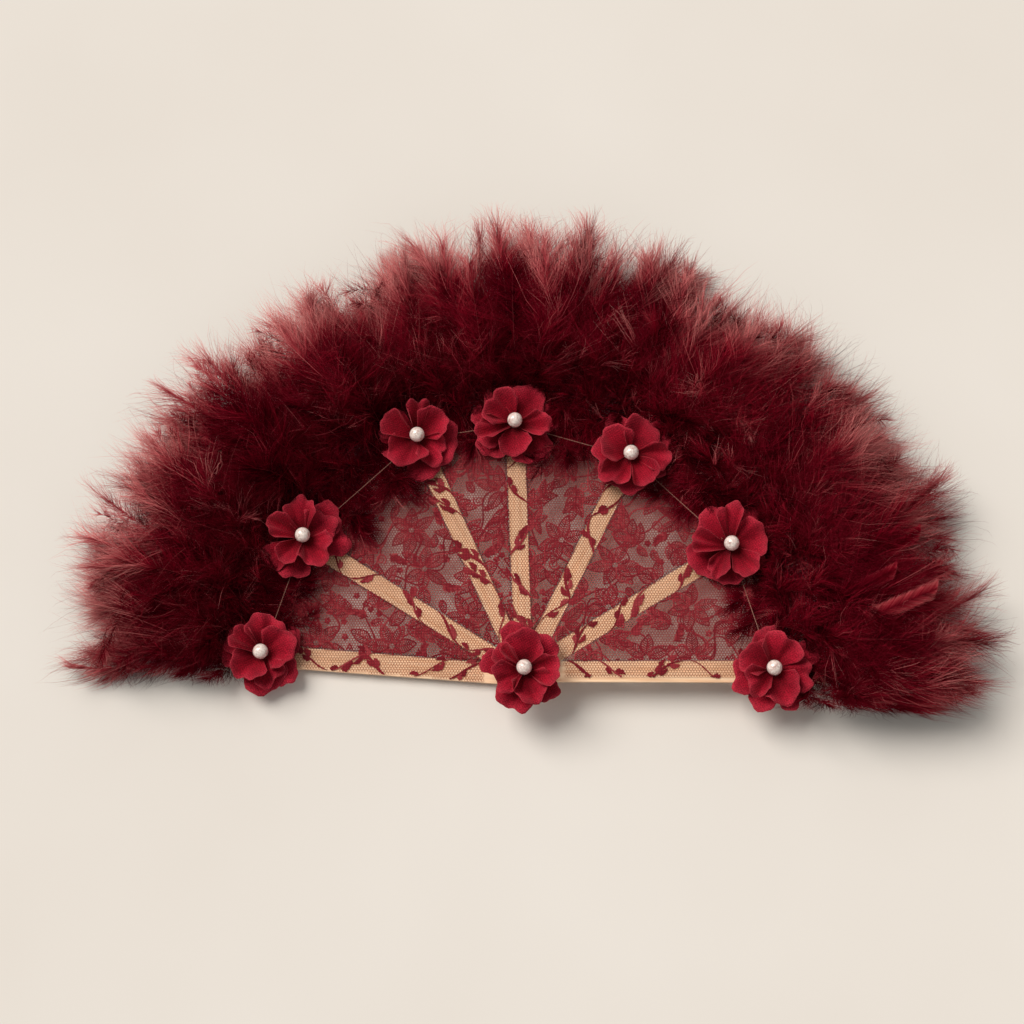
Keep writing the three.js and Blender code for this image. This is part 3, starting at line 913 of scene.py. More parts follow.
def make_lace():
    rng = np.random.default_rng(LACE_SEED)
    material = lace_material()
    centres = net_centres()
    cell_gap = lace_gap(centres)
    leaf = embroider(rng)
    leaf_gap = np.where(over_stick(leaf.middles, STICK_MARGIN), -1, lace_gap(leaf.middles))
    stems = gild_sticks(rng)
    stem_gap = lace_gap(stems.middles)
    for i, (left, right) in enumerate(gaps):
        parts = Parts()
        add_net(parts, centres[cell_gap == i], rng)
        add_strokes(parts, leaf, leaf.starts[leaf_gap == i])
        add_strokes(parts, stems, stems.starts[stem_gap == i])
        piece = parts.build(f"lace_leaf_{i + 1}", material)
        close_with_gap(piece, i)
        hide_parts(f"lace_panel_{i + 1}")


# Stay threads: two plies twisted together, tied to the hubs of neighbouring flowers

PLY_RADIUS = 0.12 * MM
PLY_OFFSET = 0.1 * MM
PLY_PITCH = 2.6 * MM
PLY_SIDES = 5
PLY_POINTS = 9
PLY_BANDS = (0.05, 0.3)
BAND_WIDTH = 0.2
THREAD_SAG = 0.2 * MM
THREAD_OFF_CENTRE = 5.3 * MM
THREAD_HEIGHT = 1.25 * MM
KNOT_RADIUS = 0.5 * MM
KNOT_LENGTH = 1.4 * MM
KNOT_TURNS = 3
KNOT_POINTS = 14
KNOT_PLY = 1.4 * PLY_RADIUS
KNOT_BAND = 0.6


def thread_between(left, right):
    """The two ends of the stay thread between two sticks."""
    heading = unit((right.flower - left.flower) * (1, 1, 0))
    rise = UP * THREAD_HEIGHT
    return left.flower + heading * THREAD_OFF_CENTRE + rise, right.flower - heading * THREAD_OFF_CENTRE + rise


thread_ends = [thread_between(left, right) for left, right in gaps]


def add_ply(parts, path, radius, band):
    rows = len(path)
    uv = grid_uv(rows, PLY_SIDES, (band, 0.0), (band + BAND_WIDTH, 1.0))
    parts.add(tube(path, np.full(rows, radius), PLY_SIDES), uv, grid_faces(rows, PLY_SIDES, True))


def make_threads():
    material = thread_material()
    for i, (start, end) in enumerate(thread_ends):
        length = np.linalg.norm(end - start)
        heading = (end - start) / length
        side = unit(np.cross(heading, UP))
        parts = Parts()
        t = np.linspace(0, 1, int(length / PLY_PITCH * PLY_POINTS))
        line = start + t[:, None] * (end - start) - (THREAD_SAG * np.sin(math.pi * t))[:, None] * UP
        spin = CIRCLE * length / PLY_PITCH * t
        for first_turn, band in zip((0, math.pi), PLY_BANDS):
            add_ply(parts, line + PLY_OFFSET * around(spin + first_turn, side, UP), PLY_RADIUS, band)
        for tied, way in ((start, 1), (end, -1)):
            k = np.linspace(0, 1, KNOT_POINTS * KNOT_TURNS)
            wrap = KNOT_RADIUS * around(CIRCLE * KNOT_TURNS * k, side, UP)
            add_ply(parts, tied + way * heading * (k[:, None] * KNOT_LENGTH) + wrap, KNOT_PLY, KNOT_BAND)
        piece = parts.build(f"flower_thread_{i + 1}", material)
        close_with_gap(piece, i)
        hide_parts(f"stay_thread_{i + 1}")


# Flowers: loose cloth petals in two layers on a sewn hub, and a pearl

FLOWER_SEED = 40
PIVOT_FLOWER_SEED = 60
LOWER = Group(
    count=5, length=23.0 * MM, half=10.8 * MM, root=1.4 * MM, rise=1.8 * MM, wave=1.3 * MM, cup=0.8 * MM,
    tilt=1.1 * MM, curl=1.2 * MM, hub=5 * MM, foot=0.0, least=0.2 * MM, stand=1.9 * MM, room=1.5 * MM,
    turn=0.0,
)
UPPER = Group(
    count=5, length=19.8 * MM, half=9.4 * MM, root=3.6 * MM, rise=4.4 * MM, wave=2.7 * MM, cup=4.6 * MM,
    tilt=2.4 * MM, curl=3.2 * MM, hub=3.4 * MM, foot=2.2 * MM, least=1.7 * MM, stand=6.0 * MM, room=5.0 * MM,
    turn=math.pi / 5,
)
RISES = (0.55, 1.35, 0.75, 1.5, 1.0)

# What all petals share, and the ranges that each petal's own measures are drawn from
PETAL_ROWS = 13
PETAL_COLUMNS = 21
PETAL_CLOTH = 0.16 * MM
PETAL_ROOT = 1.2 * MM
PETAL_ROOT_HALF = 1.5 * MM
PETAL_WIDENING = 1.15
PETAL = Group(
    turn=0.28, folded=0.4, folded_half=0.75, length=(0.84, 1.02), half=(0.72, 1.12), round=(100, 122),
    notch=(0.02, 0.36), notch_off=0.5, notch_width=0.22, ripples=((3, 0.09), (8, 0.045)),
    rise=(0.8, 1.2), rise_power=1.4, cup=(-0.15, 0.9), folded_cup=(1.0, 1.6), cup_off=0.55, cup_power=1.3,
    tilt=(0.3, 1.2), waves=(1.4, 3.0), curl=(-0.8, 1.0), curl_sway=0.6, curl_start=0.55, twist=0.15,
)
PETAL_UV = (0.02, 0.88)
PETAL_UV_GAP = 0.01
HUB_HEIGHT = 1.6 * MM
HUB_SIDES = 24
HUB_PROFILE = np.array([(0.82, 0.0), (0.98, 0.25), (1.0, 0.5), (0.92, 0.8), (0.7, 1.0), (0.02, 1.08)])
HUB_UV = ((0.02, 0.91), (0.98, 0.99))
# The hub takes the dark colour of the petals' roots: painted shade in the middle of the flower
HUB_CLOTH = (0.1, 0.5)


def petal_surface(rng, layer, heading, rise):
    """One petal: a narrow root that fans out to a round rim, cupped, tilted and curled in its own way."""
    u = np.linspace(0, 1, PETAL_ROWS)[:, None]
    v = np.linspace(-1, 1, PETAL_COLUMNS)[None, :]
    folded = rng.uniform() < PETAL.folded
    length = layer.length * rng.uniform(*PETAL.length)
    half = layer.half * rng.uniform(*PETAL.half) * (PETAL.folded_half if folded else 1.0)
    turn = v * math.radians(rng.uniform(*PETAL.round))
    slow_phase, fast_phase, wave_phase, curl_phase = rng.uniform(0, CIRCLE, 4)
    notch_depth = rng.uniform(*PETAL.notch)
    from_notch = (v - either_way(rng, PETAL.notch_off)) / PETAL.notch_width
    notch = notch_depth * np.exp(-from_notch ** 2)
    rim = 1 - notch
    for (waves, depth), phase in zip(PETAL.ripples, (slow_phase, fast_phase)):
        rim = rim + depth * np.sin(waves * turn + phase)
    x = PETAL_ROOT * (1 - u) + (length - half + half * np.cos(turn) * rim) * u
    y = PETAL_ROOT_HALF * v * (1 - u) + half * np.sin(turn) * rim * u ** PETAL_WIDENING
    z = layer.root + layer.rise * rise * rng.uniform(*PETAL.rise) * u ** PETAL.rise_power
    cup = layer.cup * rng.uniform(*(PETAL.folded_cup if folded else PETAL.cup))
    z = z + cup * (v - either_way(rng, PETAL.cup_off)) ** 2 * u ** PETAL.cup_power
    z = z + layer.tilt * rng.uniform(*PETAL.tilt) * v * u
    z = z + layer.wave * u ** 2 * np.sin(rng.uniform(*PETAL.waves) * math.pi * v + wave_phase)
    curl = layer.curl * rng.uniform(*PETAL.curl) * (1 + PETAL.curl_sway * np.sin(turn + curl_phase))
    z = z + curl * np.maximum(0, (u - PETAL.curl_start) / (1 - PETAL.curl_start)) ** 2
    z = np.maximum(z, layer.root + layer.least * u)
    z = soft_limit(z, layer.root + layer.stand * u, layer.room)
    twist = heading + either_way(rng, PETAL.twist) * u
    px = x * np.cos(twist) - y * np.sin(twist)
    py = x * np.sin(twist) + y * np.cos(twist)
    return np.stack([px, py, z], -1).reshape(-1, 3)


def hub_surface(radius):
    """A low round pad under a layer, as rings from its foot to its top."""
    reach, height = HUB_PROFILE.T * [[radius], [HUB_HEIGHT]]
    return place(reach[:, None], ring_angles(HUB_SIDES), height[:, None]).reshape(-1, 3)


def make_layer(name, node, layer, centre, turn, rng, material):
    """A layer of petals round its hub. The second map runs along and across each petal."""
    parts = Parts(PETAL_MAP)
    petal_faces = grid_faces(PETAL_ROWS, PETAL_COLUMNS)
    petal_uv = grid_uv(PETAL_ROWS, PETAL_COLUMNS, (0, 0), (1, 1))[:, ::-1]
    for i in range(layer.count):
        heading = turn + layer.turn + CIRCLE * i / layer.count + either_way(rng, PETAL.turn)
        low = (i / layer.count + PETAL_UV_GAP, PETAL_UV[0])
        high = ((i + 1) / layer.count - PETAL_UV_GAP, PETAL_UV[1])
        surface = centre + petal_surface(rng, layer, heading, RISES[i])
        parts.add(surface, grid_uv(PETAL_ROWS, PETAL_COLUMNS, low, high), petal_faces, second_uv=petal_uv)
    hub = centre + hub_surface(layer.hub) + UP * layer.foot
    rows = len(HUB_PROFILE)
    # The hub's colour is the dark one near the petals' roots, painted shade at the flower's middle
    hub_cloth = np.full((len(hub), 2), HUB_CLOTH)
    hub_uv = grid_uv(rows, HUB_SIDES, *HUB_UV)
    parts.add(hub, hub_uv, grid_faces(rows, HUB_SIDES, True), second_uv=hub_cloth)
    piece = parts.build(name, material)
    thick = piece.modifiers.new("cloth", "SOLIDIFY")
    thick.thickness = PETAL_CLOTH
    thick.offset = 0
    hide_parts(node)
    return piece


PEARL_ROWS = 22
PEARL_SIDES = 32
PEARL_HOLE = 0.4 * MM
PEARL_HOLE_END = 0.6
PEARL_HOLE_TAPER = 0.8
PEARL_UV = ((0.02, 0.02), (0.98, 0.98))


def make_pearl(name, node, centre, turn, material):
    """A pearl with its drilled hole lying level, as it is sewn on."""
    low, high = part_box(node)
    radius = (high.z - low.z) / 2
    hole_lean = math.asin(PEARL_HOLE / radius)
    lean = np.linspace(hole_lean, math.pi - hole_lean, PEARL_ROWS)
    inside = PEARL_HOLE * PEARL_HOLE_TAPER
    along = np.concatenate([[PEARL_HOLE_END * radius], radius * np.cos(lean), [-PEARL_HOLE_END * radius]])
    reach = np.concatenate([[inside], radius * np.sin(lean), [inside]])
    axis = direction(turn)
    ring = around(ring_angles(PEARL_SIDES), UP, np.cross(UP, axis))
    points = centre + along[:, None, None] * axis + reach[:, None, None] * ring
    rows = len(along)
    parts = Parts()
    uv = grid_uv(rows, PEARL_SIDES, *PEARL_UV)
    parts.add(points.reshape(-1, 3), uv, grid_faces(rows, PEARL_SIDES, True))
    piece = parts.build(name, material)
    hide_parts(node)
    return piece


def make_flower(name, body, centre, pearl, seed, cloth, nacre, squash=None):
    rng = np.random.default_rng(seed)
    turn = rng.uniform(0, CIRCLE)
    for layer, word in ((LOWER, "lower"), (UPPER, "upper")):
        piece = make_layer(f"{name}_{word}_cloth", f"{name}_{word}_petals", layer, centre, turn, rng, cloth)
        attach(piece, body)
        if squash:
            joint, angle = squash
            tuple(direction(angle + math.pi / 2))
            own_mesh(piece)
    bead = make_pearl(f"{name}_bead", f"{name}_pearl", pearl, rng.uniform(0, math.pi), nacre)
    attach(bead, body)


def make_flowers():
    cloth = petal_material()
    nacre = pearl_material()
    for i, stick in enumerate(sticks):
        squash = (f"fold_{max(i, 1)}", stick.angle)
        seed = FLOWER_SEED + i
        make_flower(f"flower_{i + 1}", stick.name, stick.flower, stick.pearl, seed, cloth, nacre, squash)
    make_flower("pivot_flower", "guard_left", *flower_place("pivot_flower"), PIVOT_FLOWER_SEED, cloth, nacre)


# Feathers: curved quills with soft barbs, a plume on each stick and one in each gap

PLUME_SEED = 100
PLUME_SHARE_OF_GAP = 0.25
LEFT_END_SPREAD = math.radians(1)
RIGHT_END_SPREAD = math.radians(4)
STICK_PLUME_SHIFT = 4 * MM
QUILL = Group(
    steps=9, radius=0.16 * MM, taper=0.95, sides=4, sway=0.3, bend_power=1.15, roll=0.6, tone_width=0.03,
)
BARB_HALF = 0.1 * MM
BARB_POINTS = 4
LONG_BARB_POINTS = 5
LONG_BARB = 21 * MM
LOCKS = 14
BARB = Group(
    zone=(0.04, 1.0), crowding=0.75, tip_zone=0.8, tip_spread=(0.0, 1.1), tilt=4, own_tilt=0.5, thin=0.5,
    swell=(0.16, 0.74), long_share=0.08, long_stretch=1.4, reach=(0.6, 1.12), droop=0.1, swings=1.2,
)
RIBBON_ROLL = 0.35
RIBBON_TAPER = 0.75
RIBBON_TAPER_POWER = 1.3

# Limits that barbs are kept within
TABLE_CLEAR = 0.5 * MM
BARB_CLEAR = 0.5 * MM
FEATHER_DROP = 24 * MM
PETAL_REACH = 19 * MM
PETAL_CLEAR = 0.3 * MM
PETAL_HOLLOW = 2.6 * MM
PETAL_HOLLOW_POWER = 1.5
THREAD_CLEAR = 0.35 * MM
THREAD_SIDE = 8 * MM
THREAD_LOW_SIDE = 3.5 * MM
CROWN = 25 * MM
CROWN_ROOM = 12 * MM
OUTLINE = 222 * MM
OUTLINE_ROOM = 7 * MM
LEFT_LOW_SIDE = -4 * MM
RIGHT_LOW_SIDE = 10 * MM
LOW_SIDE_ROOM = 14 * MM

# Tones of barbs, lighter where they end near the outline as a painted glow of light through the thin fringe,
# and least so towards the right guard
LOCK_TONE = 0.13
STRAND_TONE = 0.06
BARB_TONES = (0.03, LAST_BARB_TONE - 0.03)
PAINTED_GLOW_ANGLES = np.radians([20, 50, 75, 110])
PAINTED_GLOW_TONES = (0.42, 0.9, 1.15, 0.95)
PAINTED_GLOW_ZONE = (-22 * MM, -2 * MM)

# The way that barbs face over a puff
PUFF_HALF = math.radians(3.5)
PUFF_ROUND = 0.7
PUFF_SIDE = 1.5
FACING_RADII = (138 * MM, 168 * MM, 215 * MM)
FACING_SLOPES = (-0.5, 0.1, 0.8)
FACING_JITTER = 0.35
FACING_LEAST_UP = 0.1

# How barbs stand on a downy and on a sleek quill, with slants, tilts and jitter in degrees
DOWN = Group(base=74, tip=38, tilt=36, forward=0.45, lock=0.62, curl=0.3, wave=0.1, jitter=10)
SLEEK = Group(base=56, tip=32, tilt=30, forward=0.4, lock=0.54, curl=0.24, wave=0.07, jitter=8)
SLEEKNESS = 0.6
SLEEK_ANGLES = (math.radians(35), math.radians(115))


def mixed_style(share):
    """A style between the downy and the sleek feathers."""
    keys = vars(DOWN)
    return Group(**{k: getattr(DOWN, k) * (1 - share) + getattr(SLEEK, k) * share for k in keys})


def puff_at(angle, reach=OUTLINE):
    return Group(centre=angle, reach=reach)


def resting_height(points):
    """Lowest height of a barb: over the sticks and the lace, and further out just over the table."""
    past = smoothstep(radius_of(points), sticks[0].length, sticks[0].length + FEATHER_DROP)
    return (lace_height(points) + BARB_CLEAR) * (1 - past) + TABLE_CLEAR * past


def resting_root(radius, angle, rise):
    """A point that is raised a little over its lowest height."""
    root = place(radius, angle)
    root[..., 2] = resting_height(root) + rise
    return root


def settle(points):
    """Barbs stay over what they lie on, under the petals and the threads, and within the outline."""
    radius = np.maximum(radius_of(points), MM)
    points[..., :2] *= (soft_limit(radius, OUTLINE, OUTLINE_ROOM) / radius)[..., None]
    low_side = np.where(points[..., 0] < 0, LEFT_LOW_SIDE, RIGHT_LOW_SIDE)
    points[..., 1] = -soft_limit(-points[..., 1], low_side, LOW_SIDE_ROOM)
    height = np.maximum(soft_limit(points[..., 2], CROWN, CROWN_ROOM), resting_height(points))
    for stick in sticks:
        reach = radius_of(points - stick.flower) / PETAL_REACH
        cap = stick.flower[2] + PETAL_CLEAR + PETAL_HOLLOW * reach ** PETAL_HOLLOW_POWER
        height = np.where(reach < 1, np.minimum(height, cap), height)
    for start, end in thread_ends:
        span = (end - start)[:2]
        from_start = points[..., :2] - start[:2]
        share = from_start @ span / (span @ span)
        away = np.abs(from_start @ left_of(span)) / math.hypot(*span)
        cap = start[2] + share * (end[2] - start[2]) - THREAD_CLEAR
        cap = cap + np.maximum(away - THREAD_LOW_SIDE, 0)
        near = (share > 0) & (share < 1) & (away < THREAD_SIDE)
        height = np.where(near, np.minimum(height, cap), height)
    points[..., 2] = height
    return points


class Plume(Parts):
    """Barbs and quills of one plume. The second map holds the way they face."""

    def __init__(self, rng, middle, half):
        super().__init__(FACING_MAP)
        self.rng = rng
        self.middle = middle
        self.half = half

    def number(self, per_degree):
        return round(per_degree * math.degrees(2 * self.half))

    def angle_in_turn(self, i, count, reach=1.0):
        """An angle for the one feather of count that is in turn, spread over the plume."""
        return self.middle + self.half * reach * (2 * (i + self.rng.uniform(0, 1)) / count - 1)

    def add_facing(self, vertices, uv, facing, *faces):
        """A patch of equal pieces, each of which faces one way."""
        second_uv = np.repeat(facing[:, :2] / 2 + 0.5, len(vertices) // len(facing), 0)
        self.add(vertices, uv, *faces, second_uv=second_uv)

    def faces_out(self, points, centre):
        """The way each point faces on a soft round puff: up, out to its sides and down past its crown."""
        angle = angle_of(points)
        outward = direction(angle)
        sideways = np.cross(UP, outward)
        across = np.clip((angle - centre) / PUFF_HALF, -PUFF_SIDE, PUFF_SIDE)
        slope = np.interp(radius_of(points), FACING_RADII, FACING_SLOPES)
        facing = UP + slope[:, None] * outward + PUFF_ROUND * across[:, None] * sideways
        facing = facing + self.rng.normal(0, FACING_JITTER, (len(points), 3))
        facing[:, 2] = np.maximum(facing[:, 2], FACING_LEAST_UP)
        return unit(facing)

    def ribbons(self, paths, half, tones, centre):
        """Tapered ribbons along many paths at once. The last point of each is its tip."""
        count, steps, _ = paths.shape
        facing = self.faces_out(paths[:, steps // 2], centre)
        ahead = np.gradient(paths, axis=1)
        roll = self.rng.normal(0, RIBBON_ROLL, (count, 1, 3))
        across = unit(np.cross(ahead, facing[:, None] + roll))
        s = np.linspace(0, 1, steps)
        width = (half * (1 - RIBBON_TAPER * s[:-1] ** RIBBON_TAPER_POWER))[:, None]
        left = paths[:, :-1] + across[:, :-1] * width
        right = paths[:, :-1] - across[:, :-1] * width
        vertices = np.concatenate([left, right, paths[:, -1:]], 1)
        pairs = steps - 1
        a = np.arange(pairs - 1)
        quad = np.stack([a, a + 1, pairs + a + 1, pairs + a], -1)
        last = np.array([[pairs - 1, 2 * pairs, 2 * pairs - 1]])
        shift = (np.arange(count) * vertices.shape[1])[:, None, None]
        u = np.concatenate([s[:-1], s[:-1], s[-1:]])
        spread = np.concatenate([np.full(pairs, TONE_SPREAD), np.full(pairs, -TONE_SPREAD), [0.0]])
        uv = np.stack(np.broadcast_arrays(u, tones[:, None] + spread), -1)
        self.add_facing(
            vertices.reshape(-1, 3), uv.reshape(-1, 2), facing,
            (quad + shift).reshape(-1, 4), (last + shift).reshape(-1, 3),
        )

    def feather(self, base, yaw, pitch, length, arch, style, barbs, barb_length, tone, puff, half=BARB_HALF):
        """A quill that bends from pitch down by arch, with barbs along both sides."""
        rng = self.rng
        t = np.linspace(0, 1, QUILL.steps + 1)
        yaws = yaw + rng.normal(0, QUILL.sway) * t
        ahead = direction(yaws, pitch - arch * t ** QUILL.bend_power)
        steps = (ahead[1:] + ahead[:-1]) / 2 * length / QUILL.steps
        path = settle(base + np.concatenate([np.zeros((1, 3)), np.cumsum(steps, 0)]))
        side = np.cross(direction(yaws), UP)
        lift = np.cross(side, ahead)
        roll = rng.normal(0, math.radians(style.tilt * QUILL.roll))
        side, lift = around(roll, side, lift), around(roll, lift, -side)
        rows = len(path)
        quill = tube(path, QUILL.radius * (1 - QUILL.taper * t), QUILL.sides)
        quill_uv = grid_uv(rows, QUILL.sides, (0.0, QUILL_TONE), (1.0, QUILL_TONE + QUILL.tone_width))
        facing = self.faces_out(path[rows // 2:rows // 2 + 1], puff.centre)
        self.add_facing(quill, quill_uv, facing, grid_faces(rows, QUILL.sides, True))
        self.barbs(path, ahead, side, lift, style, barbs, barb_length, tone, puff, half)

    def barbs(self, path, ahead, side, lift, style, count, barb_length, tone, puff, half):
        """Barbs in locks that lean alike, opening to a round tip."""
        rng = self.rng
        at = np.sort(rng.uniform(*BARB.zone, count)) ** BARB.crowding

        def along(values):
            place_along = at * (len(values) - 1)
            first = np.minimum(place_along.astype(int), len(values) - 2)
            share = (place_along - first)[:, None]
            return values[first] * (1 - share) + values[first + 1] * share

        root, forward, sideways, upward = along(path), along(ahead), along(side), along(lift)
        sign = rng.choice([-1.0, 1.0], count)
        lock = (at * (LOCKS - 1)).astype(int) + LOCKS * (sign > 0)
        spread = style.base + (style.tip - style.base) * at + rng.normal(0, style.jitter, count)
        spread = np.radians(spread * np.where(at > BARB.tip_zone, rng.uniform(*BARB.tip_spread, count), 1.0))
        lock_tilt = rng.normal(0, style.tilt, 2 * LOCKS)[lock]
        tilt = np.radians(BARB.tilt + lock_tilt + rng.normal(0, style.tilt * BARB.own_tilt, count))
        out = around(tilt, sideways * sign[:, None], upward)
        heading = around(spread, forward, out)
        swell_start, swell_zone = BARB.swell
        profile = BARB.thin + (1 - BARB.thin) * np.sin(math.pi * (swell_start + swell_zone * at))
        stretch = np.where(rng.uniform(size=count) < BARB.long_share, BARB.long_stretch, 1.0)
        reach = barb_length * profile * stretch * rng.uniform(*BARB.reach, count)
        pull = forward * style.forward + rng.normal(0, style.lock, (2 * LOCKS, 3))[lock] - UP * BARB.droop
        pull = pull + rng.normal(0, style.curl, (count, 3))
        s = np.linspace(0, 1, LONG_BARB_POINTS if barb_length > LONG_BARB else BARB_POINTS)
        across = unit(np.cross(heading, rng.normal(size=(count, 3))))
        phase = rng.uniform(0, CIRCLE, count)
        swing = style.wave * np.sin(CIRCLE * BARB.swings * s + phase[:, None]) * s
        curve = bent(heading, pull, s) + swing[..., None] * across[:, None]
        paths = settle(root[:, None] + reach[:, None, None] * curve)
        tones = tone + rng.exponential(LOCK_TONE, 2 * LOCKS)[lock] + rng.exponential(STRAND_TONE, count)
        # Barbs whose tips come near the puff's reach are lightened: a painted glow of light through the
        # fringe
        painted_glow_tone = np.interp(puff.centre, PAINTED_GLOW_ANGLES, PAINTED_GLOW_TONES)
        tones = tones + painted_glow_tone * smoothstep(radius_of(paths[:, -1]) - puff.reach, *PAINTED_GLOW_ZONE)
        self.ribbons(paths, half, np.clip(tones, *BARB_TONES), puff.centre)


def bent(heading, pull, s):
    """Curves that set out along heading and are pulled aside, at the shares s of their length."""
    return heading[:, None] * s[:, None] + 0.5 * pull[:, None] * (s ** 2)[:, None]


def loose_barbs(plume, root, heading, reach, bend, points):
    """Paths of single barbs, each bent its own way."""
    pull = plume.rng.normal(0, bend, (len(root), 3))
    return settle(root[:, None] + reach[:, None, None] * bent(heading, pull, np.linspace(0, 1, points)))


# Puffs of the border from the right guard round to the left one: angle in degrees and reach in millimetres
PUFFS = [
    (-2.0, 202), (4.2, 216), (9.4, 208), (14.8, 200), (21.8, 217), (28, 203), (34.5, 204), (41, 215),
    (46.8, 218), (55, 208), (62.5, 206), (70.5, 219), (77.5, 221), (84.5, 212), (90, 223), (98, 217),
    (103.5, 218), (109.5, 212), (116, 205), (122.8, 208), (130, 205), (137.8, 221), (144.5, 208),
    (150.5, 213),
    (156.5, 202), (162.5, 215), (167.8, 214), (171.8, 207),
]

# Rows of feathers in a puff, from its back to its front: feathers, base distance, how far the quill stays
# short of the puff's reach, pitch and arch in degrees, barbs, barb length
ROWS = [
    (3, 140, 10, -8, 2, 300, 18),
    (3, 130, 8, 4, 6, 520, 22),
    (3, 133, 6, 15, 20, 520, 22),
    (2, 136, 18, 28, 38, 460, 20),
    (2, 138, 32, 40, 52, 400, 19),
    (2, 139, 50, 50, 60, 340, 17),
]

# How far single feathers vary in each kind of growth: plain lengths in millimetres, pitch and arch in degrees
PUFF = Group(
    rise=6, tone=0.05, spot=(0.1, 0.9), start=(-3, 5), end=(-5, 3), crown=9 * MM, foot=(0.5, 4), splay=0.12,
    sway=0.09, pitch=4, arch=7, least_cosine=0.5,
)
FRINGE = Group(
    count=110, half=0.06 * MM, side=1.2, crown=7 * MM, back=(6, 22), height=(3, 22), splay=0.35, sway=0.35,
    tilt=(0.1, 0.25), least=14 * MM, bend=0.6, points=6,
)
# Fringe barbs take pale tones from the top round to the left, a painted glow of light through them, and dark
# tones near the right guard
FRINGE_ANGLES = np.radians([25, 70])
FRINGE_LOW_TONES = (0.06, 0.25)
FRINGE_HIGH_TONES = (0.4, 0.75)
FRINGE_REACH = (32 * MM, 25 * MM)
TUFT = Group(
    per_degree=1.7, radius=(136, 200), foot=(-4, 1), sway=0.9, pitch=(5, 45), arch=(20, 80), length=(9, 18),
    barbs=90, barb_length=(6, 11),
)
FRONT_RADII = (134 * MM, 168 * MM, 195 * MM, 215 * MM)
FRONT_HEIGHTS = (12 * MM, 26 * MM, 22 * MM, 12 * MM)
GAP_RUFF = Group(per_degree=2.0, low=112, high=142, inward=0.5)
STICK_RUFF = Group(per_degree=1.9, low=124, high=148, inward=0.15)
RUFF = Group(reach=1.15, foot=(0.5, 4), sway=0.85, arch=(20, 50), tone=0.04, sleek=0.6, barbs=160)
RUFF_BARB = 12 * MM
RUFF_INWARDS = Group(turn=math.pi, length=(8, 14), pitch=(10, 28))
RUFF_OUTWARDS = Group(turn=0, length=(20, 34), pitch=(22, 52))
UNDER_DOWN = Group(
    per_degree=130, reach=1.1, past_low=4, past_high=8, foot=(0, 2.5), tilt=(-0.1, 0.5), length=(6, 13),
    bend=0.5, tone=(0.06, 0.08),
)
TIP_COVER = Group(
    count=7, half=math.radians(2.2), base=(128, 140), rise=1.5 * MM, sway=0.35, pitch=(12, 26),
    length=(22, 30), barbs=220, barb_length=11 * MM, tone=0.0,
)
HAIR = Group(
    count=22, half=0.08 * MM, radius=(136, 196), sway=0.7, pitch=(-8, 28), sink=4 * MM, length=(18, 36),
    bend=0.35, points=8,
)
HAIR_RADII = (136 * MM, 168 * MM, 215 * MM)
HAIR_HEIGHTS = (14 * MM, 31 * MM, 12 * MM)


def grow_puffs(plume, shift, style):
    """Feathers in round puffs, each with its own reach, rise and tone, so that the outline is scalloped."""
    rng = plume.rng
    for degrees, reach in PUFFS:
        puff = puff_at(math.radians(degrees), reach * MM)
        if abs(puff.centre - plume.middle) > plume.half:
            continue
        rise = rng.normal(0, PUFF.rise)
        puff_tone = rng.normal(0, PUFF.tone)
        for number, base, short, pitch, arch, barbs, barb_length in ROWS:
            for k in range(number):
                off = 2 * (k + rng.uniform(*PUFF.spot)) / number - 1
                angle = puff.centre + off * PUFF_HALF
                start = base * MM + rng.uniform(*PUFF.start) * MM + shift
                end = puff.reach - short * MM - PUFF.crown * off * off + rng.uniform(*PUFF.end) * MM
                root = resting_root(start, angle, rng.uniform(*PUFF.foot) * MM)
                yaw = angle + PUFF.splay * off + rng.normal(0, PUFF.sway)
                steep = math.radians(pitch + rise + rng.normal(0, PUFF.pitch))
                drop = math.radians(arch + rng.normal(0, PUFF.arch))
                length = (end - start) / max(PUFF.least_cosine, math.cos(steep - drop / 2))
                tone = puff_tone + rng.normal(0, PUFF.tone)
                plume.feather(root, yaw, steep, length, drop, style, barbs, barb_length * MM, tone, puff)
        grow_fringe(plume, puff)


def grow_fringe(plume, puff):
    """Fine single barbs that stand out past a puff's edge."""
    rng = plume.rng
    count = FRINGE.count
    off = either_way(rng, FRINGE.side, count)
    angle = puff.centre + off * PUFF_HALF
    start = puff.reach - FRINGE.crown * off * off - rng.uniform(*FRINGE.back, count) * MM
    root = place(start, angle, rng.uniform(*FRINGE.height, count) * MM)
    yaw = angle + FRINGE.splay * off + rng.normal(0, FRINGE.sway, count)
    heading = direction(yaw, rng.normal(*FRINGE.tilt, count))
    # Pale fringe tones towards the top stand for a painted glow of light through the fine barbs
    ranges = (FRINGE_LOW_TONES, FRINGE_HIGH_TONES, FRINGE_REACH)
    low, high, most = (np.interp(puff.centre, FRINGE_ANGLES, ends) for ends in ranges)
    reach = rng.uniform(FRINGE.least, most, count)
    paths = loose_barbs(plume, root, heading, reach, FRINGE.bend, FRINGE.points)
    plume.ribbons(paths, FRINGE.half, rng.uniform(low, high, count), puff.centre)


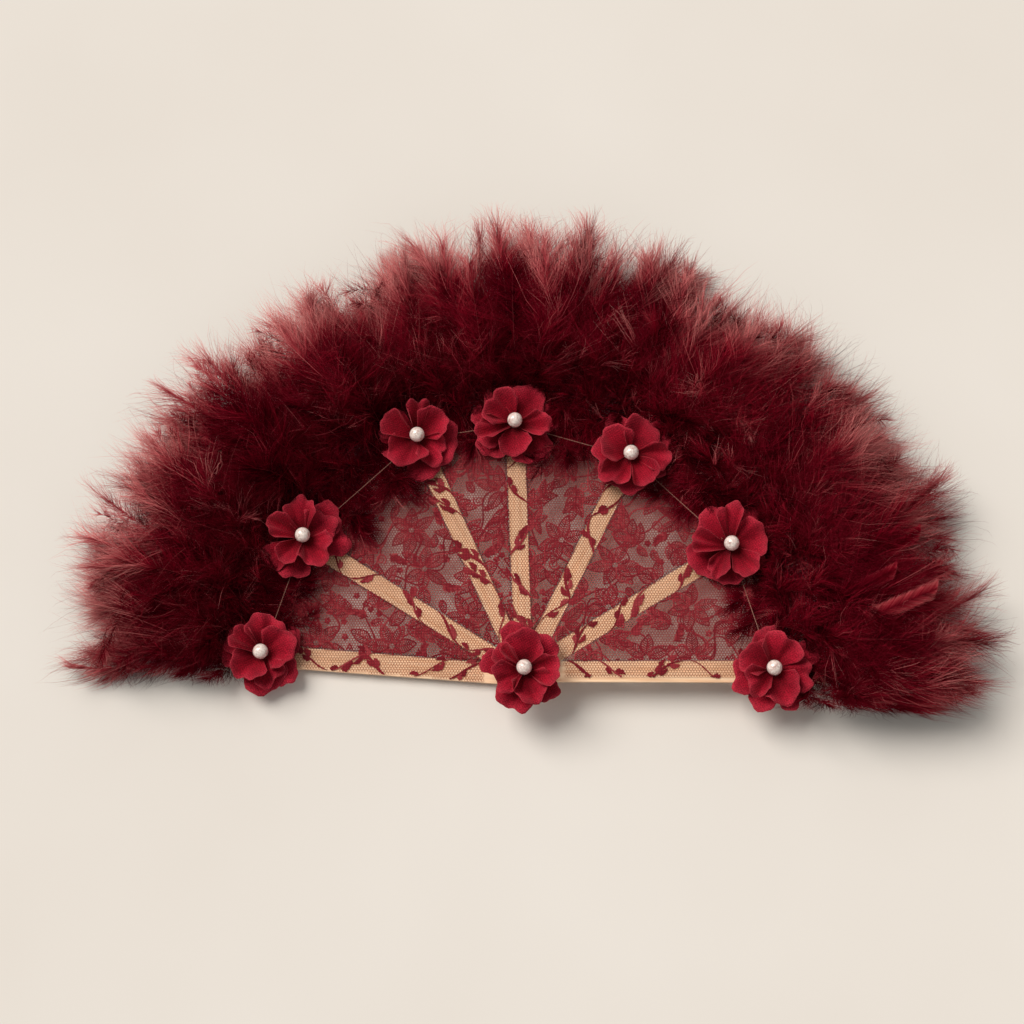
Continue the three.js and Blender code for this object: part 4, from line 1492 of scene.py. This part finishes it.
def grow_tufts(plume):
    """Short curled feathers over the plume's front, turned every way."""
    rng = plume.rng
    count = plume.number(TUFT.per_degree)
    for i in range(count):
        angle = plume.angle_in_turn(i, count)
        radius = rng.uniform(*TUFT.radius) * MM
        height = np.interp(radius, FRONT_RADII, FRONT_HEIGHTS) + rng.uniform(*TUFT.foot) * MM
        root = place(radius, angle, height)
        yaw = angle + rng.normal(0, TUFT.sway)
        pitch = math.radians(rng.uniform(*TUFT.pitch))
        arch = math.radians(rng.uniform(*TUFT.arch))
        tone = rng.exponential(LOCK_TONE)
        length = rng.uniform(*TUFT.length) * MM
        barb_length = rng.uniform(*TUFT.barb_length) * MM
        plume.feather(root, yaw, pitch, length, arch, DOWN, TUFT.barbs, barb_length, tone, puff_at(angle))


def grow_ruff(plume, ruff, style):
    """Short feathers turned every way over the lace's edge and round the flowers."""
    rng = plume.rng
    count = plume.number(ruff.per_degree)
    for i in range(count):
        angle = plume.angle_in_turn(i, count, RUFF.reach)
        root = resting_root(rng.uniform(ruff.low, ruff.high) * MM, angle, rng.uniform(*RUFF.foot) * MM)
        way = RUFF_INWARDS if rng.uniform() < ruff.inward else RUFF_OUTWARDS
        yaw = angle + way.turn + rng.normal(0, RUFF.sway)
        length = rng.uniform(*way.length) * MM
        pitch = math.radians(rng.uniform(*way.pitch))
        arch = math.radians(rng.uniform(*RUFF.arch))
        tone = rng.normal(0, RUFF.tone)
        plume.feather(root, yaw, pitch, length, arch, style, RUFF.barbs, RUFF_BARB, tone, puff_at(angle))


def grow_under_down(plume, ruff):
    """Short loose barbs close over the lace's edge and the sticks, so that nothing shows through."""
    rng = plume.rng
    count = plume.number(UNDER_DOWN.per_degree)
    angle = plume.middle + plume.half * either_way(rng, UNDER_DOWN.reach, count)
    radius = rng.uniform(ruff.low + UNDER_DOWN.past_low, ruff.high + UNDER_DOWN.past_high, count) * MM
    root = resting_root(radius, angle, rng.uniform(*UNDER_DOWN.foot, count) * MM)
    heading = direction(rng.uniform(0, CIRCLE, count), rng.uniform(*UNDER_DOWN.tilt, count))
    reach = rng.uniform(*UNDER_DOWN.length, count) * MM
    paths = loose_barbs(plume, root, heading, reach, UNDER_DOWN.bend, BARB_POINTS)
    tones = np.clip(rng.normal(*UNDER_DOWN.tone, count), *BARB_TONES)
    plume.ribbons(paths, BARB_HALF, tones, plume.middle)


def cover_tip(plume, stick):
    """Low feathers that hide the end of a stick past its flower."""
    rng = plume.rng
    cover = TIP_COVER
    for off in np.linspace(-1, 1, cover.count):
        angle = stick.angle + cover.half * off
        root = place(rng.uniform(*cover.base) * MM, angle, stick.top + cover.rise)
        yaw = angle + rng.normal(0, cover.sway)
        pitch = math.radians(rng.uniform(*cover.pitch))
        length = rng.uniform(*cover.length) * MM
        puff = puff_at(angle)
        plume.feather(root, yaw, pitch, length, pitch, DOWN, cover.barbs, cover.barb_length, cover.tone, puff)


def grow_hairs(plume):
    """Bare light filaments that stand out of the down."""
    rng = plume.rng
    count = HAIR.count
    angle = plume.middle + plume.half * either_way(rng, 1, count)
    radius = rng.uniform(*HAIR.radius, count) * MM
    root = place(radius, angle, np.interp(radius, HAIR_RADII, HAIR_HEIGHTS))
    yaw = angle + rng.normal(0, HAIR.sway, count)
    heading = direction(yaw, np.radians(rng.uniform(*HAIR.pitch, count)))
    reach = rng.uniform(*HAIR.length, count) * MM
    paths = loose_barbs(plume, root - HAIR.sink * heading, heading, reach, HAIR.bend, HAIR.points)
    plume.ribbons(paths, HAIR.half, np.full(count, QUILL_TONE), plume.middle)


SINGLE = Group(
    plume="plume_1", angle=math.radians(177.5), base=148 * MM, height=8 * MM, turn=math.radians(15),
    tilt=math.radians(6), length=64 * MM, barbs=260, barb_length=11 * MM, half=0.15 * MM, tone=0.5,
)


def grow_single(plume):
    """One longer feather that lies among the down at the end of the left guard."""
    single = SINGLE
    root = place(single.base, single.angle, single.height)
    plume.feather(
        root, single.angle + single.turn, single.tilt, single.length, 2 * single.tilt, SLEEK, single.barbs,
        single.barb_length, single.tone, puff_at(single.angle), single.half,
    )


# Flat cut vanes that rise out of the down: plume, angle in degrees, base distance, base height, turn from
# straight outwards in degrees, length, half width, tone
VANES = [
    ("plume_7", 7.6, 154, 29, 14, 40, 4.6, 0.55),
    ("plume_gap_6", 13.0, 154, 27, 12, 24, 3.8, 0.42),
    ("plume_gap_6", 17.2, 164, 24, 11, 31, 3.8, 0.34),
]
VANE = Group(
    barbs=420, half=0.13 * MM, slant=math.radians(32), droop=0.9 * MM, cut=-0.7, rise=0.26,
    reach=(0.82, 1.06),
    past_end=0.3 * MM, least_ahead=0.1, tone=0.07,
)


def grow_vane(plume, degrees, base, height, turn, length, width, tone):
    """Close flat barbs at one slant along a straight quill, cut off slantwise at the end."""
    rng = plume.rng
    angle = math.radians(degrees)
    yaw = angle + math.radians(turn)
    ahead, side = direction(yaw), direction(yaw + math.pi / 2)
    forward, sideways = math.cos(VANE.slant), math.sin(VANE.slant)
    along = np.linspace(0, length, VANE.barbs) * MM
    sign = np.where(np.arange(VANE.barbs) % 2, 1.0, -1.0)
    ahead_share = np.maximum(forward + VANE.cut * sideways * sign, VANE.least_ahead)
    reach = width * MM / sideways * rng.uniform(*VANE.reach, VANE.barbs)
    reach = np.minimum(reach, (length * MM - along + VANE.past_end) / ahead_share)
    heading = forward * ahead + sideways * sign[:, None] * side
    root = place(base * MM, angle, height * MM) + along[:, None] * (ahead + VANE.rise * UP)
    s = np.linspace(0, 1, BARB_POINTS)
    paths = root[:, None] + reach[:, None, None] * heading[:, None] * s[:, None]
    paths[..., 2] -= VANE.droop * (reach / reach.max())[:, None] * s ** 2
    tones = np.clip(rng.normal(tone, VANE.tone, VANE.barbs), *BARB_TONES)
    plume.ribbons(settle(paths), VANE.half, tones, angle)


def plume_spans():
    """The sectors of the plumes as (node, body, gap, middle angle, half angle, stick if it sits on one)."""
    spans = []
    for i, stick in enumerate(sticks):
        left, right = LEFT_END_SPREAD, RIGHT_END_SPREAD
        if i > 0:
            left = (sticks[i - 1].angle - stick.angle) * PLUME_SHARE_OF_GAP
        if i < len(gaps):
            right = (stick.angle - sticks[i + 1].angle) * PLUME_SHARE_OF_GAP
        middle = stick.angle + (left - right) / 2
        spans.append((f"plume_{i + 1}", stick.name, max(i - 1, 0), middle, (left + right) / 2, stick))
    for i, (a, b) in enumerate(gaps):
        half = (a.angle - b.angle) * (0.5 - PLUME_SHARE_OF_GAP)
        spans.append((f"plume_gap_{i + 1}", f"leaf_{i + 1}", i, (a.angle + b.angle) / 2, half, None))
    return spans


def grow_plume(node, middle, half, stick, rng):
    """All feathers of a plume. They are sleeker towards the right guard."""
    plume = Plume(rng, middle, half)
    sleek = SLEEKNESS * float(1 - smoothstep(middle, *SLEEK_ANGLES))
    ruff = STICK_RUFF if stick else GAP_RUFF
    grow_puffs(plume, STICK_PLUME_SHIFT if stick else 0, mixed_style(sleek))
    grow_ruff(plume, ruff, mixed_style(sleek * RUFF.sleek))
    grow_under_down(plume, ruff)
    grow_tufts(plume)
    if stick:
        cover_tip(plume, stick)
    grow_hairs(plume)
    if node == SINGLE.plume:
        grow_single(plume)
    for owner, *vane in VANES:
        if node == owner:
            grow_vane(plume, *vane)
    return plume


def make_plumes():
    material = feather_material()
    for number, (node, body, gap, middle, half, stick) in enumerate(plume_spans()):
        plume = grow_plume(node, middle, half, stick, np.random.default_rng(PLUME_SEED + number))
        piece = plume.build(f"{node}_feathers", material)
        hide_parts(node)
        if stick:
            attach(piece, body)
            axis = direction(middle + math.pi / 2)
            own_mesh(piece)
        else:
            close_with_gap(piece, gap)


# Stage, light and camera

FLOOR_SIZE = 40.0
FLOOR_DROP = 0.2 * MM
FLOOR_CORNERS = np.array([[-1, -1, 0], [1, -1, 0], [1, 1, 0], [-1, 1, 0]])
CAMERA_AIM = Vector((-0.0056, 0.0804, 0.0))
CAMERA_DISTANCE = 1.024
CAMERA_ELEVATION = math.radians(75)
CAMERA_LENS = 75
CAMERA_SENSOR = 36
KEY_PLACE = Vector((-1.3, 1.05, 2.0))
KEY_SPREAD = math.radians(38)
KEY_STRENGTH = 2.82
KEY_COLOUR = (255, 250, 243)
WORLD_COLOUR = (255, 252, 248)
WORLD_LIGHT = 0.33


def aim(lamp_or_camera, target):
    heading = target - lamp_or_camera.location
    lamp_or_camera.rotation_euler = heading.to_track_quat("-Z", "Y").to_euler()


def make_floor():
    corners = FLOOR_CORNERS * FLOOR_SIZE / 2 - UP * FLOOR_DROP
    parts = Parts()
    parts.add(corners, corners[:, :2], np.array([[0, 1, 2, 3]]))
    floor = parts.build("floor", floor_material())


def make_light():
    world = bpy.data.worlds.new("studio")
    world.use_nodes = True
    sky = world.node_tree.nodes["Background"].inputs
    sky["Color"].default_value = srgb(*WORLD_COLOUR)
    sky["Strength"].default_value = WORLD_LIGHT
    bpy.context.scene.world = world
    lamp = bpy.data.lights.new("key", "SUN")
    lamp.energy = KEY_STRENGTH
    lamp.angle = KEY_SPREAD
    lamp.color = srgb(*KEY_COLOUR)[:3]
    key = add_object("key", lamp)
    key.location = KEY_PLACE
    aim(key, CAMERA_AIM)


def make_camera():
    scene = bpy.context.scene
    lens = bpy.data.cameras.new("camera")
    lens.lens = CAMERA_LENS
    lens.sensor_width = CAMERA_SENSOR
    camera = add_object("camera", lens)
    back = Vector((0, -math.cos(CAMERA_ELEVATION), math.sin(CAMERA_ELEVATION)))
    camera.location = CAMERA_AIM + back * CAMERA_DISTANCE
    aim(camera, CAMERA_AIM)
    scene.camera = camera
    scene.view_settings.view_transform = "Standard"


make_floor()
make_light()
make_camera()
dress_frame()
make_lace()
make_threads()
make_flowers()
make_plumes()
